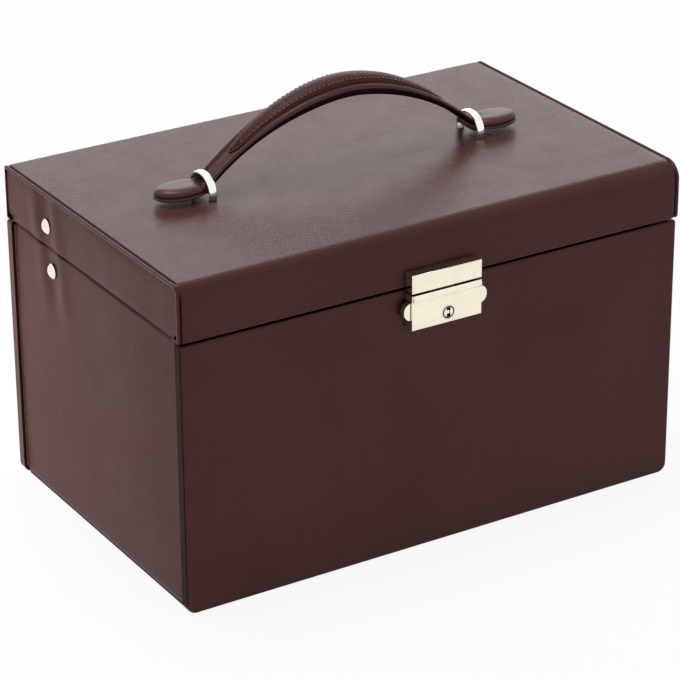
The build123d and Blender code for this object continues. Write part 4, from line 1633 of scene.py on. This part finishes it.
@dataclass
class Pads:
    """Ring rolls, watch pillows and the floor pad, each a stuffed velvet form."""

    wardrobe: Wardrobe
    side_pull: float = 0.035
    crown_drop: float = 0.42
    wrinkle: float = 0.0004
    roll_tuck: float = 0.22
    tuck_length: float = 0.006

    def islands(self, node: str) -> list[tuple[Vector, Vector]]:
        """The boxes of a node's separate solids, from left to right and front to back.

        Args:
            node: the CAD node.

        Returns:
            Each box's lowest and highest corner.
        """
        bm = bmesh.new()
        bm.from_mesh(frame["nodes"][node].data)
        bmesh.ops.remove_doubles(bm, verts=bm.verts, dist=1e-6)
        left = set(bm.verts)
        boxes = []
        while left:
            stack, seen = [left.pop()], []
            while stack:
                vert = stack.pop()
                seen.append(vert)
                for edge in vert.link_edges:
                    other = edge.other_vert(vert)
                    if other in left:
                        left.remove(other)
                        stack.append(other)
            low = Vector(min(v.co[k] for v in seen) for k in range(3))
            high = Vector(max(v.co[k] for v in seen) for k in range(3))
            boxes.append((low, high))
        bm.free()
        return sorted(boxes, key=lambda pair: (round(pair[0].x, 4), pair[0].y))

    def pillow(self, name: str, low: Vector, high: Vector, soft: float = 1.0) -> Piece:
        """A crowned closed pillow inside a box: its sides pull in between its corners.

        Args:
            name: the pillow's name.
            low: the box's lowest corner.
            high: its highest corner.
            soft: 1 for a full crown, 0 for a flat pad.

        Returns:
            The new object.
        """
        size, middle = high - low, (low + high) / 2
        power = 2.0 + 4.0 * (1 - soft)
        bm = bmesh.new()
        bmesh.ops.create_cube(bm, size=1.0)
        bmesh.ops.subdivide_edges(bm, edges=bm.edges, cuts=9, use_grid_fill=True)
        for vert in bm.verts:
            u, v, w = (2 * c for c in vert.co)
            pull_y = 1 - self.side_pull * (1 - u * u) * (1 - w * w) if abs(v) > 0.999 else 1.0
            pull_x = 1 - self.side_pull * (1 - v * v) * (1 - w * w) if abs(u) > 0.999 else 1.0
            top = max(0.0, w)
            r = (abs(u) ** power + abs(v) ** power) ** (1 / power) if (u or v) else 0.0
            drop = soft * self.crown_drop * smooth((r - 0.35) / 0.65) * top
            inset = 1 - 0.1 * soft * top ** 2
            corner = 1 - 0.07 * (abs(u) * abs(v)) ** 3
            x = middle.x + size.x / 2 * u * inset * corner * pull_x * 0.99
            y = middle.y + size.y / 2 * v * inset * corner * pull_y * 0.99
            place = Vector((x, y, middle.z + w * size.z / 2))
            crease = noise.noise(place * 90.0) * self.wrinkle
            z = low.z + size.z * ((w + 1) / 2) * (1 - drop) - 0.0005 * (w > 0.9)
            vert.co = (x, y, min(z + crease * (w > -0.9), high.z))
        piece = bmesh_piece(name, bm)
        refine(piece)
        return piece

    def ring_roll(self, name: str, low: Vector, high: Vector) -> Piece:
        """A ring roll along X with a round crown and gathered ends.

        Args:
            name: the piece's name.
            low: the box's lowest corner.
            high: the box's highest corner.

        Returns:
            The new object.
        """
        size, middle = high - low, (low + high) / 2
        rings, count, around = [], 30, 28
        for i in range(count + 1):
            share = i / count
            x = low.x + size.x * share
            near_end = min(share, 1 - share) * size.x
            tuck = 1 - self.roll_tuck * (1 - smooth(near_end / self.tuck_length)) ** 2
            ring = []
            for j in range(around):
                turn = 2 * math.pi * j / around
                y = swell(math.sin(turn), 0.72)
                z = -swell(math.cos(turn), 0.55 if math.cos(turn) > 0 else 0.8)
                lump = 1 + 0.012 * noise.noise(Vector((x * 160, turn * 1.3, middle.y * 90)))
                ring.append(Vector((x, middle.y + size.y / 2 * y * tuck * lump * 0.985,
                                    low.z + size.z * (z * (tuck if z > 0 else 1) + 1) / 2 * 0.99)))
            rings.append(ring)
        return sweep(name, rings)

    def set_down(self, pieces: Iterable[Piece], body: str, node: str) -> None:
        """Dress soft pieces, ride them on their body and let them stand for their node.

        Args:
            pieces: the pieces.
            body: the body that they ride on.
            node: the CAD node that they replace.
        """
        for piece in pieces:
            self.wardrobe.set_up(piece, Slot.SOFT_VELVET, body)
            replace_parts(piece, node)

    def build(self) -> None:
        """Make all the pads."""
        self.set_down([self.ring_roll("ring_roll_%d" % (i + 1), *box)
                       for i, box in enumerate(self.islands("ring_rolls"))],
                      "upper_tray", "ring_rolls")
        self.set_down([self.pillow("watch_pillow_%d" % (i + 1), *box)
                       for i, box in enumerate(self.islands("watch_pillows"))],
                      "lower_tray", "watch_pillows")
        self.set_down([self.pillow("floor_pad", *place_of("base_floor_pad"), 0.0)],
                      "case_body", "base_floor_pad")


# Light, backdrop and camera

WHITE: Colour = (1.0, 1.0, 1.0)


def white_to_camera(tree: Tree, output: str, white: str, whiteness: float, lit: str,
                    settings: dict[str, object]) -> None:
    """Fill a node tree so that the camera sees white where light meets a plain shader.

    Args:
        tree: the node tree to fill.
        output: type name of its output node.
        white: type name of the shader that the camera sees.
        whiteness: that shader's share in what the camera sees.
        lit: type name of the shader that light meets.
        settings: inputs of the shader that light meets.
    """
    tree.nodes.clear()
    n = Nodes(tree)
    glow = n.add(white, {"Color": WHITE, "Strength": 1.0})
    feeds = {0: n.math("MULTIPLY", n.seen(), whiteness), 1: n.add(lit, settings).outputs[0],
             2: glow.outputs[0]}
    n.add(output, {"Surface": n.add("ShaderNodeMixShader", feeds).outputs[0]})


@dataclass(frozen=True)
class StudioLamp:
    """A soft box."""

    name: str
    place: Point
    target: Point
    width: float
    height: float
    watts: float
    shines: bool = True

    def build(self) -> None:
        """Hang the lamp and turn it to its target."""
        data = bpy.data.lights.new(self.name, "AREA")
        data.shape = "RECTANGLE"
        data.size = self.width
        data.size_y = self.height
        data.energy = self.watts
        lamp = link(self.name, data)
        lamp.visible_camera = False
        lamp.visible_glossy = self.shines
        lamp.location = self.place
        aim = Vector(self.target) - Vector(self.place)
        lamp.rotation_mode = "QUATERNION"
        lamp.rotation_quaternion = aim.to_track_quat("-Z", "Y")


@dataclass(frozen=True)
class Studio:
    """White backdrop and floor, soft boxes, and the camera of the photograph."""

    lamps: tuple[StudioLamp, ...] = (
        StudioLamp("back_soft_box", (1.2, 1.95, 1.15), (0, 0, 0.15), 1.9, 1.3, 10.5),
        StudioLamp("overhead_box", (-0.1, 0.25, 1.7), (0, 0, 0.1), 0.8, 0.8, 13.0),
        StudioLamp("left_back_low", (-0.32, 0.28, 0.03), (-0.14, 0.05, 0.02), 0.16, 0.16, 1.3,
                   shines=False),
    )
    world_strength: float = 0.56
    floor_half: float = 6.0
    floor_drop: float = 0.0002
    floor_grey: float = 0.9
    floor_white: float = 0.9
    azimuth: float = -31.313
    elevation: float = 24.952
    roll: float = -0.412
    focal_pixels: float = 3111.9
    photo_pixels: float = 680.0
    sensor: float = 36.0
    camera_place: Point = (-0.7355, -1.2078, 0.7314)

    def backdrop(self) -> None:
        """A floor that looks pure white to the camera and keeps the case's shadow."""
        size = self.floor_half
        points = [(-size, -size, 0), (size, -size, 0), (size, size, 0), (-size, size, 0)]
        floor = mesh_piece("studio_floor", points, [(0, 1, 2, 3)], smooth_faces=False)
        material = bpy.data.materials.new("white_floor")
        material.use_nodes = True
        white_to_camera(material.node_tree, "ShaderNodeOutputMaterial", "ShaderNodeEmission",
                        self.floor_white, "ShaderNodeBsdfDiffuse",
                        {"Color": scaled(WHITE, self.floor_grey)})
        floor.data.materials.append(material)
        floor.location.z = -self.floor_drop

    def world(self) -> None:
        """Plain soft light all round, white to the camera."""
        world = bpy.data.worlds.new("studio")
        bpy.context.scene.world = world
        world.use_nodes = True
        white_to_camera(world.node_tree, "ShaderNodeOutputWorld", "ShaderNodeBackground", 1.0,
                        "ShaderNodeBackground", {"Color": WHITE, "Strength": self.world_strength})

    def camera(self) -> None:
        """The camera, at the place and turn worked out from the case's corners."""
        data = bpy.data.cameras.new("photo_camera")
        data.sensor_width = self.sensor
        data.lens = self.focal_pixels / self.photo_pixels * self.sensor
        data.clip_start = 0.05
        data.clip_end = 60.0
        camera = link("photo_camera", data)
        turn, lift, roll = (math.radians(v) for v in (self.azimuth, self.elevation, self.roll))
        right = Vector((math.cos(turn), math.sin(turn), 0))
        back = Vector((math.sin(turn) * math.cos(lift), -math.cos(turn) * math.cos(lift),
                       math.sin(lift)))
        up = back.cross(right)
        right_turned = right * math.cos(roll) + up * math.sin(roll)
        up_turned = up * math.cos(roll) - right * math.sin(roll)
        rows = zip(right_turned, up_turned, back, self.camera_place)
        camera.matrix_world = Matrix((*rows, (0, 0, 0, 1)))
        bpy.context.scene.camera = camera

    def build(self) -> None:
        """Set up the whole studio."""
        self.camera()
        self.backdrop()
        self.world()
        for lamp in self.lamps:
            lamp.build()
        bpy.context.scene.view_settings.view_transform = "Standard"


def main() -> None:
    """Build the studio, the materials and every dressed piece."""
    logging.basicConfig(level=logging.INFO)
    Studio().build()
    wardrobe = Wardrobe()
    wardrobe.dress_nodes()
    for kind in (SoftSkins, LockFace, CarryHandle, Pads):
        kind(wardrobe).build()


if __name__ == "__main__":
    main()
